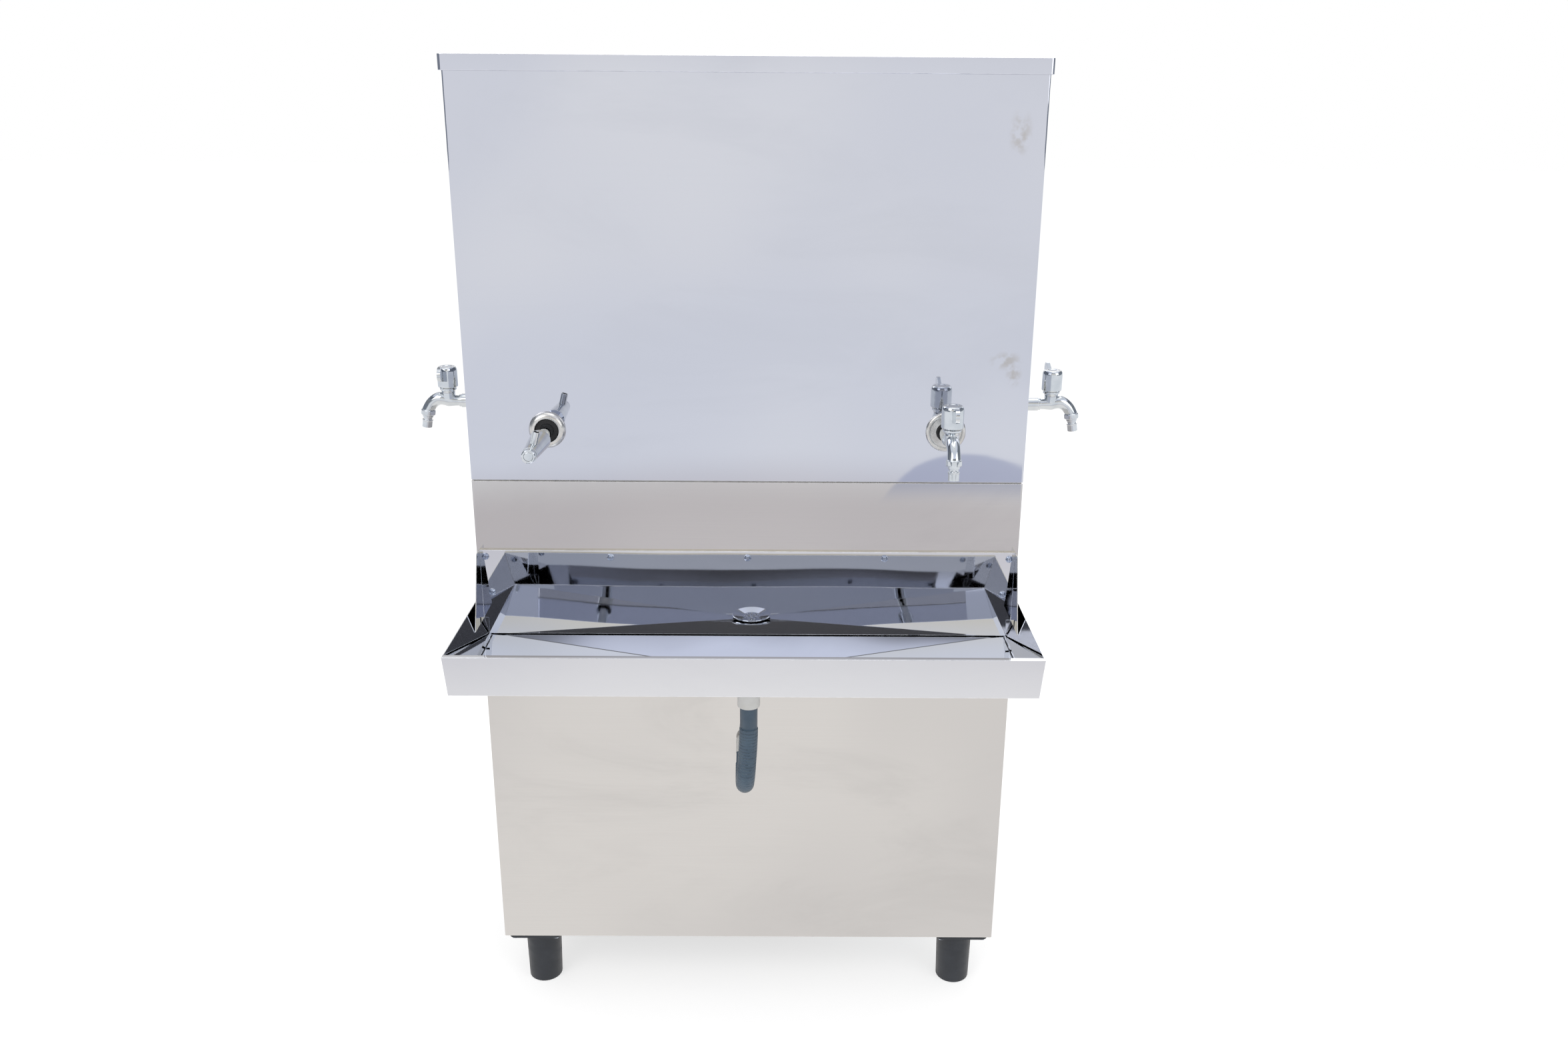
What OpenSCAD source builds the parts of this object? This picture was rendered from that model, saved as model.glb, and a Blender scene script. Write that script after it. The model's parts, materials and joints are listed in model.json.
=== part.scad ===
// Free-standing stainless steel water cooler: an insulated tank over a machine casing,
// three quarter-turn taps, one push-button jet tap and a drained spill trough.
// Every piece is drawn with the front panel at Y = 0, the middle of the cabinet at X = 0 and
// the underside of the cabinet at Z = 0, and in_frame() then moves it to the object's own frame:
// origin on the floor, under the middle of the whole outline. The front faces -Y.

/* [Cabinet] */
// Width of the cabinet
case_w = 860; // [800:10:1000]
// Depth of the cabinet, front panel to rear panel
case_d = 600; // [580:10:700]
// Height of the lower casing
lower_h = 837; // [820:5:900]
// Height of the upper casing up to the flange that carries the lid
upper_h = 620.8; // [600:10:700]
// Thickness of the outer steel sheet
sheet_t = 1.2; // [0.8:0.1:1.5]
// Thickness of the deck between the casings, seen as the dark seam
deck_t = 2; // [1.5:0.5:3]
// How far the deck stays behind the outer faces
seam_in = 3; // [2:1:6]
// Height of the lid's skirt
lid_skirt_h = 22; // [16:1:30]
// Overhang of the lid at the sides and the rear
lid_over = 3.6; // [3:0.2:6]
// Overhang of the lid at the front
lid_front_over = 7; // [4:1:10]

/* [Feet] */
// Height of a foot, floor to cabinet
foot_h = 110; // [80:5:150]
// Radius of a foot under its flange
foot_top_r = 31; // [26:1:36]
// Radius of a foot at the floor
foot_low_r = 29; // [24:1:34]
// Width of the square flange of a foot
foot_flange_w = 92; // [86:2:100]
// Distance from the cabinet's side to the middle of a foot
foot_in_x = 60; // [56:2:90]
// Distance from the cabinet's front or rear to the middle of a foot
foot_in_y = 46; // [44:2:90]

/* [Tank] */
// Space for foam between the casing and the tank
foam_gap = 52.5; // [48:0.5:60]
// Thickness of the tank's steel
tank_t = 1.5; // [1:0.1:2]
// Foam under the tank
foam_floor = 41; // [36:1:50]
// Radius of the cooling coil's tube
coil_r = 4; // [3:0.5:4.5]
// Turns of the cooling coil
coil_turns = 8; // [4:1:10]
// Rise of the cooling coil in one turn
coil_pitch = 26; // [20:1:30]

/* [Trough] */
// Reach of the trough in front of the panel
tray_reach = 230; // [200:5:260]
// How far the trough's rim stands out beyond each side panel
tray_over = 4; // [0:0.5:10]
// How far the trough's floor edge lies in from its rim on each side
tray_flare = 16; // [14:1:30]
// Height of the trough's lip
lip_h = 60; // [50:2:70]
// Width of the flat top of the lip
lip_w = 8; // [6:0.5:12]
// Depth of the trough's floor edge below the top of the lower casing
tray_drop = 256; // [230:1:280]
// Fall of the creased floor to the drain
tray_sag = 14; // [8:1:18]
// Height of the splash plate's top above the floor edge
splash_h = 143.7; // [130:0.1:160]
// Distance of the splash plate's face from the panel
splash_off = 5; // [4:0.5:8]

/* [Drain] */
// Place of the drain to the right of the middle
drain_x = 4; // [-10:1:10]
// Distance of the drain from the panel
drain_y = 112; // [100:1:125]
// Outer radius of the ribbed hose on its ribs
hose_rib_r = 13.3; // [12.8:0.1:14]
// Bore radius of the hose
hose_bore_r = 10; // [9:0.1:10.5]
// Distance from rib to rib
rib_pitch = 5.2; // [4.5:0.1:6]
// Bend radius of the hose
hose_bend_r = 45.5; // [40:0.5:50]
// Outer radius of the pipe that leaves at the rear
drain_pipe_r = 10; // [9:0.1:10]

/* [Taps] */
// Height of the taps above the top of the lower casing
tap_rise = 83; // [70:1:110]
// Distance of the side taps from the panel
side_tap_y = 195; // [150:5:260]
// Distance of the front tap from the right side panel
front_tap_in = 125; // [100:1:150]
// Distance of the jet tap from the left side panel
jet_tap_in = 123; // [100:1:150]
// Distance from a side panel to the handle's axis of its tap
side_tap_out = 76; // [70:1:90]
// Distance from the front panel to the handle's axis of the front tap
front_tap_out = 70; // [66:1:90]
// Outer radius of the tap nipples
nipple_r = 11.5; // [10.5:0.1:12.5]
// Radius of the handle's dome
dome_r = 16.6; // [15:0.1:19]
// Reach of the handle's lever from its axis
lever_reach = 55; // [48:1:64]
// Thickness of the lever
lever_t = 6.2; // [5:0.1:8]

/* [Jet tap] */
// Reach of the jet tap from the front panel
jet_len = 158; // [150:1:170]
// Radius of the jet tap's widest rim
jet_rim_r = 15.8; // [14:0.2:18]
// Radius of the jet tap at its front
jet_front_r = 11; // [10:0.2:13]
// Radius of the push button
button_r = 6.8; // [5:0.1:8]
// Travel of the push button
button_travel = 7; // [5:0.5:8]
// Radius of the upright spout
spout_r = 5.5; // [5:0.1:7]

/* [Cooling machine] */
// Radius of the compressor's shell
comp_r = 82; // [70:1:90]
// Height of the compressor
comp_h = 178; // [160:2:200]
// Width of the condenser
cond_w = 300; // [260:10:340]
// Height of the condenser
cond_h = 250; // [230:10:270]
// Number of condenser fins
cond_fins = 24; // [16:2:30]
// Radius of the fan blades
fan_r = 100; // [90:1:110]
// Rows of louvres in the rear cover
louvre_rows = 10; // [6:1:12]

/* [Hidden] */
$fn = 64;

// Overrun of every cut past the face that it opens
cut = 1;
// Gap between pieces of two bodies that don't run in each other
gap = 0.3;
// Running clearance of a turning or sliding shaft, on the radius
fit = 0.05;
// Clearance of a hole round what passes through it, on the radius
hole_gap = 0.4;

// Sheet metal: returned flanges and bends
flange_w = 22;
rear_return_w = 34;
corner_r = 3;
case_top = lower_h + deck_t + upper_h;
deck_top = lower_h + deck_t;
half_w = case_w / 2;
wrap_d = case_d - sheet_t;
half_turn = 180;

// Places that follow the casings
tray_z = lower_h - tray_drop;
tray_rim_half = half_w + tray_over;
tray_floor_half = tray_rim_half - tray_flare;
tap_z = lower_h + tap_rise;
front_tap_x = half_w - front_tap_in;
jet_tap_x = half_w - jet_tap_in;

// What stands out at the rear, and the shift into the object's own frame
rear_reach = 32;
shift_y = (tray_reach - case_d - rear_reach) / 2;

// Feet
foot_wall = 4;
foot_floor_t = 5;
foot_chamfer = 1.5;
foot_flange_t = 10.5;
foot_flange_r = 12;
foot_flange_out = 9;
foot_flange_back = 7;
bolt_r = 4;
bolt_head_r = 7;
bolt_head_h = 3;
bolt_in = 10;
bolt_nut_h = 6.5;

// Base pan
pan_t = 2;
pan_h = 40;

// Rear cover
cover_in = 5;
cover_low = 6;
louvre_w = 230;
louvre_gap = 50;
louvre_pitch = 30;
louvre_h = 14;
louvre_out = 7;
louvre_first_z = 96;
louvre_arc_n = 6;
cover_screw_r = 2.1;
cover_screw_head_r = 4.5;
cover_screw_head_h = 2.4;
cover_screw_len = 9;
cover_screw_z_shares = [0.08, 0.36, 0.65, 0.96];

// Tank and foam
foam_skin_gap = 0.5;
coil_gap = 0.8;
coil_arc_n = 5;
coil_side_n = 6;
coil_start_z = tap_z + 50;
coil_channel = 18;
tank_corner_r = 36;
tank_flange_w = 24;
tank_top_drop = 16;
tank_low_z = deck_top + sheet_t + foam_floor;
tank_top_z = case_top - tank_top_drop;
tank_half_w = half_w - foam_gap;
tank_y0 = foam_gap;
tank_y1 = case_d - foam_gap;
tank_mid_y = (tank_y0 + tank_y1) / 2;

// Lid
lid_foam_t = 34;
lid_foam_in = 8;
lid_corner_r = 6;

// Trough
tray_t = 1.2;
lip_low_half = tray_rim_half - 4.5 * tray_t;
lip_top_z = tray_z + lip_h;
splash_top_z = tray_z + splash_h;
// Outline of a side wing: shares of its reach and of the splash plate's height
wing_reach = 66;
wing_foot_up = 28.5;
wing_gap = 0.03;
wing_foot_z = tray_z + wing_foot_up;
// The wings stand just inside the pan's sloping sides
splash_half = tray_floor_half + (tray_flare - tray_t) * wing_foot_up / lip_h - wing_gap;
wing_shares = [[0.36, 1], [0.65, 0.62], [0.79, 0.43]];
drain_hole_r = 17;
dish_r = 32.5;
dish_t = 1.5;
dish_rise = 2.2;
dish_in_r = 15;
tail_r = 14.6;
tail_dip = 10;
strainer_hole_r = 1.8;
strainer_ring_n = 8;
strainer_ring_shares = [0.36, 0.72];

// Plated screws of the trough
screw_r = 2.4;
screw_head_r = 5.8;
screw_head_h = 3;
screw_washer_t = 0.8;
screw_recess_r = 1.6;
screw_recess_d = 1.4;
screw_tail = 5;
top_screw_down = 10.7;
low_screw_up = 73;
mid_screw_x = 217;
top_screw_in = 10;
low_screw_in = 17;
top_screw_z = splash_top_z - top_screw_down;
low_screw_z = tray_z + low_screw_up;
top_screw_x = [0, mid_screw_x, splash_half - top_screw_in];
low_screw_x = splash_half - low_screw_in;

// Drain cup, elbow and pipe
cup_r = 17.75;
cup_flange_r = 25;
cup_flange_t = 4;
cup_drop = 73;
cup_low_z = tray_z - cup_drop;
cup_spigot_r = 9.8;
cup_spigot_l = 26;
cup_bore_r = 7.8;
hose_cuff_r = 12.2;
hose_valley_r = 12;
hose_cuff_top = 38;
hose_cuff_low = 27;
hose_sides = 8;
hose_bore_n = 26;
elbow_ball_r = 14.8;
elbow_hollow_r = 8.6;
elbow_stub_r = 12.7;
elbow_out = 9;
elbow_mouth_r = 14.4;
elbow_mouth_l = 19;
elbow_seat = 8.5;
elbow_tail = 12;
elbow_x = -5;
elbow_drop = 191;
elbow_z = tray_z - elbow_drop;
pipe_wall = 1.5;
pipe_collar_w = 3;
// Rise of the hose's far end on the panel
hose_end_angle = 45;

// Ordinary tap: the casting, seen from its side. The table holds shares: along and up of the
// spout's reach and drop, half height and half width of the inlet radius, then the tilt in degrees
spout_reach = 35.8;
spout_drop = 15.5;
casting_r = 8.8;
casting_in = 22;
casting_shares = [
  [-0.61, 0, 1, 1, 0], [-0.33, 0, 1.02, 1.02, 0], [0, 0.03, 1.19, 1.12, 0],
  [0.28, 0.19, 1.4, 1.19, -20], [0.56, 0.1, 1.24, 1.15, -35],
  [0.81, -0.32, 1.16, 1.13, -55], [0.96, -0.84, 1.19, 1.19, -75], [1, -1, 1.19, 1.19, -81]
];
casting_steps = 3;
casting_sides = 20;
casting_bore_r = 6;
neck_r = 13.8;
neck_fillet_r = 6;
neck_top_z = 22;
neck_rim_t = 3;
inlet_collar_r = 10.2;
inlet_collar_l = 4;
stem_r = 5;
stem_low_z = 9;
// Handle
dome_low_z = 22.8;
dome_top_z = 58;
dome_chamfer = 2.1;
dome_round_r = 8;
index_r = 9;
index_depth = 0.8;
lever_root_r = 8;
lever_tip_r = 10.5;
lever_root_z = 43.3;
lever_tip_z = 52;
lever_arc_n = 14;
// Nozzle
nozzle_collar_r = 11.9;
nozzle_collar_h = 9;
nozzle_step_r = 8.8;
nozzle_step_h = 4;
nozzle_neck_r = 7.2;
nozzle_neck_h = 4;
nozzle_barb_r = 8.9;
nozzle_barb_h = 3;
nozzle_end_r = 8.2;
nozzle_end_h = 10.5;
nozzle_bore_r = 5.6;
nozzle_chamfer = 1;
// Nipple, lock nut, flange and gasket
nipple_bore_r = 8;
nut_r = 19;
nut_t = 7;
washer_r = 17;
washer_t = 2;
flange_r = 31;
flange_rim_r = 4;
flange_dish_z = 2.2;
flange_hole_r = 14.6;
gasket_t = 3.4;
jet_flange_r = 28.5;
jet_flange_h = 9;
jet_flange_hole_r = 18.6;
jet_flange_lip = 1;
jet_ring_r = 18.2;
jet_ring_t = 6.5;
jet_ring_chamfer = 1;
jet_neck_r = 10.5;
jet_neck_l = 65;
jet_rim_l = 5;
jet_cap_l = 9;
jet_cap_r = 10.2;
jet_groove = 1.2;
spout_s = 126;
spout_h = 29.5;
spout_low = 7;
spout_lean = 15;
spout_bore_r = 4.1;
button_t = 4;
button_stem_r = 2.6;
button_stem_l = 22;
button_edge = 0.8;

// Water supply
inlet_in = 220;
inlet_down = 92;
inlet_x = half_w - inlet_in;
inlet_z = case_top - inlet_down;
inlet_r = 10;
inlet_bore_r = 7;
valve_r = 12;
valve_l = 34;
valve_fork_t = 4;
arm_pin_r = 2;
arm_r = 2.5;
arm_len = 210;
arm_eye_r = 6;
arm_eye_t = 7;
ball_r = 42;

// Cooling machine
comp_x = -190;
comp_y = 250;
comp_dome = 30;
comp_foot_t = 3;
comp_foot_w = 190;
comp_seam_r = 3;
comp_lift = 12;
comp_stub_r = 4;
comp_stub_l = 22;
comp_stub_turn = 35;
mount_r = 13;
mount_bolt_r = 4;
mount_waist_r = 9;
mount_head_h = 6;
cond_x = 150;
cond_y = 470;
cond_t = 44;
cond_lift = 30;
fin_t = 1;
cond_tube_r = 4;
cond_plate_t = 1.5;
shroud_t = 1.5;
shroud_ring = 22;
shroud_gap = 4;
fan_hub_r = 20;
fan_blades = 5;
fan_blade_t = 2;
fan_pitch = 28;
fan_tip_gap = 5;
motor_r = 34;
motor_l = 46;
motor_shaft_r = 3;
motor_arm_w = 12;
motor_arm_t = 3;
drier_r = 10;
drier_l = 70;
pipe_r = 3.2;
pipe_bend_r = 16;
pipe_sides = 8;
pipe_arc_n = 4;
tail_gap = 1;
pipe_side_shares = [0.31, 0.52, 0.79];
thermo_in = 100;
thermo_down = 87;
thermo_x = thermo_in - half_w;
thermo_z = lower_h - thermo_down;
thermo_w = 46;
thermo_h = 60;
thermo_d = 34;
knob_r = 19;
knob_h = 15;
knob_base_h = 3;
knob_base_r = 22;
knob_shaft_r = 3;
knob_shaft_l = 16;
gland_in = 100;
gland_x = half_w - gland_in;
gland_z = 70;
gland_r = 9;
gland_hex_r = 13;
gland_out = 26;
gland_bore_r = 4.2;

// Moves a piece from the cabinet's frame to the object's own frame
module in_frame() {
  translate([0, shift_y, foot_h]) children();
}

// Square outline with rounded corners, centred
module round_rect(w, d, r) {
  for (sx = [-1, 1])
    for (sy = [-1, 1])
      translate([sx * (w / 2 - r), sy * (d / 2 - r)]) circle(r);
  square([w - 2 * r, d], center = true);
  square([w, d - 2 * r], center = true);
}

// Block given by its lowest and highest corner
module block(low, high) {
  translate(low) cube(high - low);
}

// Block given by its lowest and highest corner, its upright edges folded to a radius
module folded_block(low, high, r) {
  size = high - low;
  translate([(low[0] + high[0]) / 2, (low[1] + high[1]) / 2, low[2]])
    linear_extrude(size[2]) round_rect(size[0], size[1], r);
}

// Cylinder from one point to another
module rod(from, to, r1, r2) {
  run = to - from;
  long = norm(run);
  turn = acos(run[2] / long);
  axis = norm(cross([0, 0, 1], run)) == 0 ? [1, 0, 0] : cross([0, 0, 1], run);
  translate(from) rotate(a = turn, v = axis) cylinder(h = long, r1 = r1, r2 = r2);
}

// Ring of points of an ellipse, square to a direction
function ring(centre, side, up, a, b, n) =
  [for (k = [0 : n - 1]) centre + a * cos(360 * k / n) * side + b * sin(360 * k / n) * up];

function unit(v) = v / norm(v);

// Skin over rings of equal length, closed at both ends
module skin(rings) {
  n = len(rings[0]);
  m = len(rings);
  points = [for (one = rings) for (p = one) p];
  walls = [
    for (i = [0 : m - 2])
      for (k = [0 : n - 1])
        let (a = i * n + k, b = i * n + (k + 1) % n)
          each [[a, a + n, b + n], [a, b + n, b]]
  ];
  start = [[for (k = [0 : n - 1]) k]];
  finish = [[for (k = [n - 1 : -1 : 0]) (m - 1) * n + k]];
  polyhedron(points, concat(walls, start, finish), convexity = 6);
}

// Skin of a hollow tube: the outer rings forward, the bore's rings back
module hollow_skin(outer, inner) {
  n = len(outer[0]);
  rings = concat(outer, [for (i = [len(inner) - 1 : -1 : 0]) inner[i]]);
  m = len(rings);
  points = [for (one = rings) for (p = one) p];
  walls = [
    for (i = [0 : m - 1])
      for (k = [0 : n - 1])
        let (a = i * n + k, b = i * n + (k + 1) % n)
        let (c = ((i + 1) % m) * n + k, d = ((i + 1) % m) * n + (k + 1) % n)
          each [[a, c, d], [a, d, b]]
  ];
  polyhedron(points, walls, convexity = 10);
}

// Directions along a list of points
function along(path, i) =
  unit(path[min(i + 1, len(path) - 1)] - path[max(i - 1, 0)]);

// Rings of a tube along points; the reference direction never lies along the path
function tube_rings(path, r, n, ref) =
  [for (i = [0 : len(path) - 1])
    let (d = along(path, i), side = unit(cross(ref, d)), up = cross(d, side))
      ring(path[i], side, up, r, r, n)];

// A path through corner points with each corner rounded
function rounded_path(corners, r, n) =
  [for (i = [0 : len(corners) - 1])
    let (p = corners[i])
      each (i == 0 || i == len(corners) - 1 ? [p] :
        let (a = unit(corners[i - 1] - p), b = unit(corners[i + 1] - p))
        let (half = acos(a * b) / 2, lead = r / tan(half))
        let (mid = unit(a + b), c = p + mid * (r / sin(half)))
        let (from = p + a * lead - c, spread = half_turn - 2 * half)
        let (axis = unit(cross(from, p + b * lead - c)), across = cross(axis, from))
          [for (k = [0 : n]) c + from * cos(spread * k / n) + across * sin(spread * k / n)])];

// Outline round two circles that lie along X, for the lever
function two_circle_outline(c0, r0, c1, r1, n) =
  let (run = c1 - c0, lean = atan2(run[1], run[0]), open = acos((r0 - r1) / norm(run)))
  concat(
    [for (k = [0 : n]) let (a = lean - open + 2 * open * k / n) c1 + r1 * [cos(a), sin(a)]],
    [for (k = [0 : n]) let (a = lean + open + (360 - 2 * open) * k / n)
      c0 + r0 * [cos(a), sin(a)]]
  );

// Foot: a tapered hollow leg with a square bolted flange
module foot(side, rear) {
  x = side * (half_w - foot_in_x);
  y = rear ? case_d - foot_in_y : foot_in_y;
  dx = side * foot_flange_out;
  dy = rear ? -foot_flange_back : foot_flange_back;
  color([0.14, 0.16, 0.19])
    in_frame() translate([x, y, -foot_h]) difference() {
      union() {
        cylinder(h = foot_chamfer, r1 = foot_low_r - foot_chamfer, r2 = foot_low_r);
        translate([0, 0, foot_chamfer])
          cylinder(h = foot_h - foot_chamfer - foot_flange_t, r1 = foot_low_r, r2 = foot_top_r);
        translate([dx, dy, foot_h - foot_flange_t])
          linear_extrude(foot_flange_t)
            round_rect(foot_flange_w, foot_flange_w, foot_flange_r);
      }
      translate([0, 0, foot_floor_t])
        cylinder(h = foot_h, r1 = foot_low_r - foot_wall, r2 = foot_top_r - foot_wall);
      translate([dx, dy, 0]) bolt_places() translate([0, 0, foot_h - foot_flange_t - cut])
        cylinder(h = foot_flange_t + 2 * cut, r = bolt_r + hole_gap);
    }
}

// Places of the four bolts of a flange, from its middle
module bolt_places() {
  reach = foot_flange_w / 2 - bolt_in;
  for (sx = [-1, 1])
    for (sy = [-1, 1])
      translate([sx * reach, sy * reach, 0]) children();
}

// Does something at the middle of each foot's flange
module at_flanges() {
  for (side = [-1, 1])
    for (rear = [0, 1]) {
      x = side * (half_w - foot_in_x + foot_flange_out);
      y = rear == 1 ? case_d - foot_in_y - foot_flange_back : foot_in_y + foot_flange_back;
      translate([x, y, 0]) children();
    }
}

module foot_bolts() {
  floor_z = sheet_t + pan_t;
  color("gray")
    in_frame() at_flanges() bolt_places() {
      translate([0, 0, -foot_flange_t - bolt_head_h])
        cylinder(h = bolt_head_h, r = bolt_head_r, $fn = 6);
      translate([0, 0, -foot_flange_t])
        cylinder(h = foot_flange_t + floor_z + bolt_nut_h, r = bolt_r);
      translate([0, 0, floor_z]) cylinder(h = bolt_nut_h, r = bolt_head_r, $fn = 6);
    }
}

module base_pan() {
  inset = sheet_t + gap;
  low = [-half_w + inset, inset, sheet_t];
  high = [half_w - inset, wrap_d - inset, sheet_t + pan_h];
  color("silver")
    in_frame() difference() {
      folded_block(low, high, corner_r - sheet_t);
      block(low + [pan_t, pan_t, pan_t], high + [-pan_t, -pan_t, cut]);
      at_flanges() bolt_places() cylinder(h = pan_h, r = bolt_r + hole_gap);
      compressor_feet() cylinder(h = pan_h, r = mount_bolt_r + hole_gap);
    }
}

// Hole for the cable gland through the rear wall
module gland_hole() {
  translate([gland_x, case_d - 2 * flange_w, gland_z]) rotate([-90, 0, 0])
    cylinder(h = 3 * flange_w, r = gland_r + hole_gap);
}

// Front and sides of the lower casing in one folded sheet
module lower_casing() {
  color([0.8, 0.79, 0.78])
    in_frame() difference() {
      folded_block([-half_w, 0, 0], [half_w, wrap_d, lower_h], corner_r);
      folded_block([-half_w + sheet_t, sheet_t, sheet_t],
        [half_w - sheet_t, wrap_d - sheet_t, lower_h - sheet_t], corner_r - sheet_t);
      block([-half_w + flange_w, flange_w, -cut],
        [half_w - flange_w, wrap_d - flange_w, lower_h + cut]);
      block([-half_w + rear_return_w, wrap_d - flange_w - cut, -cut],
        [half_w - rear_return_w, wrap_d + cut, lower_h + cut]);
      at_flanges() bolt_places() translate([0, 0, -cut])
        cylinder(h = sheet_t + 2 * cut, r = bolt_r + hole_gap);
      trough_screw_places() screw_hole();
      translate([elbow_x, -cut, elbow_z]) rotate([-90, 0, 0])
        cylinder(h = sheet_t + 2 * cut, r = elbow_stub_r + hole_gap);
      cover_screw_places() rotate([90, 0, 0]) translate([0, 0, -cut])
        cylinder(h = 3 * sheet_t + 2 * cut, r = cover_screw_r + hole_gap);
    }
}

// Places of the screws that hold the rear cover, on its outer face
module cover_screw_places() {
  x = half_w - (rear_return_w + cover_in) / 2;
  for (side = [-1, 1])
    for (share = cover_screw_z_shares)
      translate([side * x, case_d, share * lower_h]) children();
}

// One hood: a quarter-round bulge that is open below
module louvre_hood(out, h) {
  rotate([90, 0, 90]) linear_extrude(louvre_w, center = true)
    polygon(concat([[0, 0]],
      [for (k = [0 : louvre_arc_n])
        let (a = 90 * k / louvre_arc_n) [out * cos(a), h * sin(a)]]));
}

// Rear cover with its rows of louvres
module rear_cover() {
  half = half_w - cover_in;
  color([0.78, 0.78, 0.78])
    in_frame() difference() {
      union() {
        block([-half, wrap_d, cover_low], [half, case_d, lower_h - cover_low]);
        louvre_places() louvre_hood(louvre_out, louvre_h);
      }
      louvre_places() translate([0, 0, -cut]) louvre_void();
      translate([elbow_x, wrap_d - cut, elbow_z]) rotate([-90, 0, 0])
        cylinder(h = sheet_t + 2 * cut, r = drain_pipe_r + hole_gap);
      gland_hole();
      translate([thermo_x, wrap_d - cut, thermo_z]) rotate([-90, 0, 0])
        cylinder(h = sheet_t + 2 * cut, r = knob_shaft_r + hole_gap);
      cover_screw_places() rotate([90, 0, 0]) translate([0, 0, -cut])
        cylinder(h = sheet_t + 2 * cut, r = cover_screw_r + hole_gap);
    }
}

// Hollow of a hood, through the sheet and out below
module louvre_void() {
  in_out = louvre_out - sheet_t;
  in_h = louvre_h - sheet_t;
  rotate([90, 0, 90])
    linear_extrude(louvre_w - 2 * sheet_t, center = true)
      polygon(concat([[-sheet_t - cut, 0], [in_out, 0]],
        [for (k = [0 : louvre_arc_n])
          let (a = 90 * k / louvre_arc_n) [in_out * cos(a), cut + in_h * sin(a)]],
        [[-sheet_t - cut, cut + in_h]]));
}

// Two columns of louvres
module louvre_places() {
  for (side = [-1, 1])
    for (row = [0 : louvre_rows - 1])
      translate([side * (louvre_w + louvre_gap) / 2, case_d, louvre_first_z + row * louvre_pitch])
        children();
}

module cover_screws() {
  color("gainsboro")
    in_frame() cover_screw_places() {
      rotate([-90, 0, 0]) cylinder(h = cover_screw_head_h, r1 = cover_screw_head_r,
        r2 = cover_screw_head_r - cover_screw_head_h / 2);
      rotate([90, 0, 0]) cylinder(h = cover_screw_len, r = cover_screw_r);
    }
}

// Deck that carries the tank; its edge is the dark seam
module divider_deck() {
  color([0.25, 0.25, 0.26])
    in_frame() difference() {
      block([-half_w + seam_in, seam_in, lower_h], [half_w - seam_in, case_d - seam_in, deck_top]);
      coil_tails() cylinder(h = deck_top + cut, r = pipe_r + hole_gap);
    }
}

module upper_casing() {
  color([0.76, 0.78, 0.81])
    in_frame() difference() {
      folded_block([-half_w, 0, deck_top], [half_w, case_d, case_top], corner_r);
      folded_block([-half_w + sheet_t, sheet_t, deck_top + sheet_t],
        [half_w - sheet_t, case_d - sheet_t, case_top - sheet_t], corner_r - sheet_t);
      block([-half_w + flange_w, flange_w, deck_top - cut],
        [half_w - flange_w, case_d - flange_w, case_top + cut]);
      nipple_holes(sheet_t);
      inlet_hole();
    }
}

// Does something at the four taps; the local X points outward from the panel
module at_taps(left = true, right = true, front = true, jet = true) {
  if (right) translate([half_w, side_tap_y, tap_z]) children();
  if (left) translate([-half_w, side_tap_y, tap_z]) rotate([0, 0, 180]) children();
  if (front) translate([front_tap_x, 0, tap_z]) rotate([0, 0, -90]) children();
  if (jet) translate([-jet_tap_x, 0, tap_z]) rotate([0, 0, -90]) children();
}

// Holes for the four tap nipples, from outside the panel to inside the tank
module nipple_holes(depth) {
  at_taps(jet = false) rotate([0, 90, 0]) translate([0, 0, -depth - cut])
    cylinder(h = depth + 2 * cut, r = nipple_r + hole_gap);
  at_taps(left = false, right = false, front = false) rotate([0, 90, 0])
    translate([0, 0, -depth - cut]) cylinder(h = depth + 2 * cut, r = jet_neck_r + hole_gap);
}

module inlet_hole() {
  translate([inlet_x, tank_y1 - tank_t - cut, inlet_z]) rotate([-90, 0, 0])
    cylinder(h = foam_gap + tank_t + 2 * cut, r = inlet_r + hole_gap);
}

// Foam between the casing and the tank, with the channel of the coil
module foam() {
  side = sheet_t + foam_skin_gap;
  reach = tank_t + coil_channel;
  low_z = deck_top + sheet_t;
  color("khaki")
    in_frame() difference() {
      block([-half_w + side, side, low_z], [half_w - side, case_d - side, tank_top_z - tank_t]);
      translate([0, tank_mid_y, tank_low_z]) linear_extrude(case_top)
        round_rect(2 * tank_half_w, tank_y1 - tank_y0, tank_corner_r);
      translate([0, tank_mid_y, coil_start_z - coil_pitch])
        linear_extrude((coil_turns + 2) * coil_pitch)
          round_rect(2 * (tank_half_w + reach), tank_y1 - tank_y0 + 2 * reach,
            tank_corner_r + reach);
      nipple_holes(foam_gap);
      inlet_hole();
      coil_tails() cylinder(h = coil_start_z, r = pipe_r + hole_gap);
    }
}

// Where the two tails of the coil pass through the deck
module coil_tails() {
  translate([drier_x, drier_y, 0]) children();
  translate([suction_x, suction_y, 0]) children();
}

module water_tank() {
  d = tank_y1 - tank_y0;
  color([0.8, 0.82, 0.84])
    in_frame() difference() {
      union() {
        translate([0, tank_mid_y, tank_low_z]) linear_extrude(tank_top_z - tank_low_z)
          round_rect(2 * tank_half_w, d, tank_corner_r);
        translate([0, tank_mid_y, tank_top_z - tank_t]) linear_extrude(tank_t)
          round_rect(2 * (tank_half_w + tank_flange_w), d + 2 * tank_flange_w,
            tank_corner_r + tank_flange_w);
      }
      translate([0, tank_mid_y, tank_low_z + tank_t]) linear_extrude(case_top)
        round_rect(2 * (tank_half_w - tank_t), d - 2 * tank_t, tank_corner_r - tank_t);
      nipple_holes(foam_gap + tank_t);
      inlet_hole();
    }
}

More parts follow.
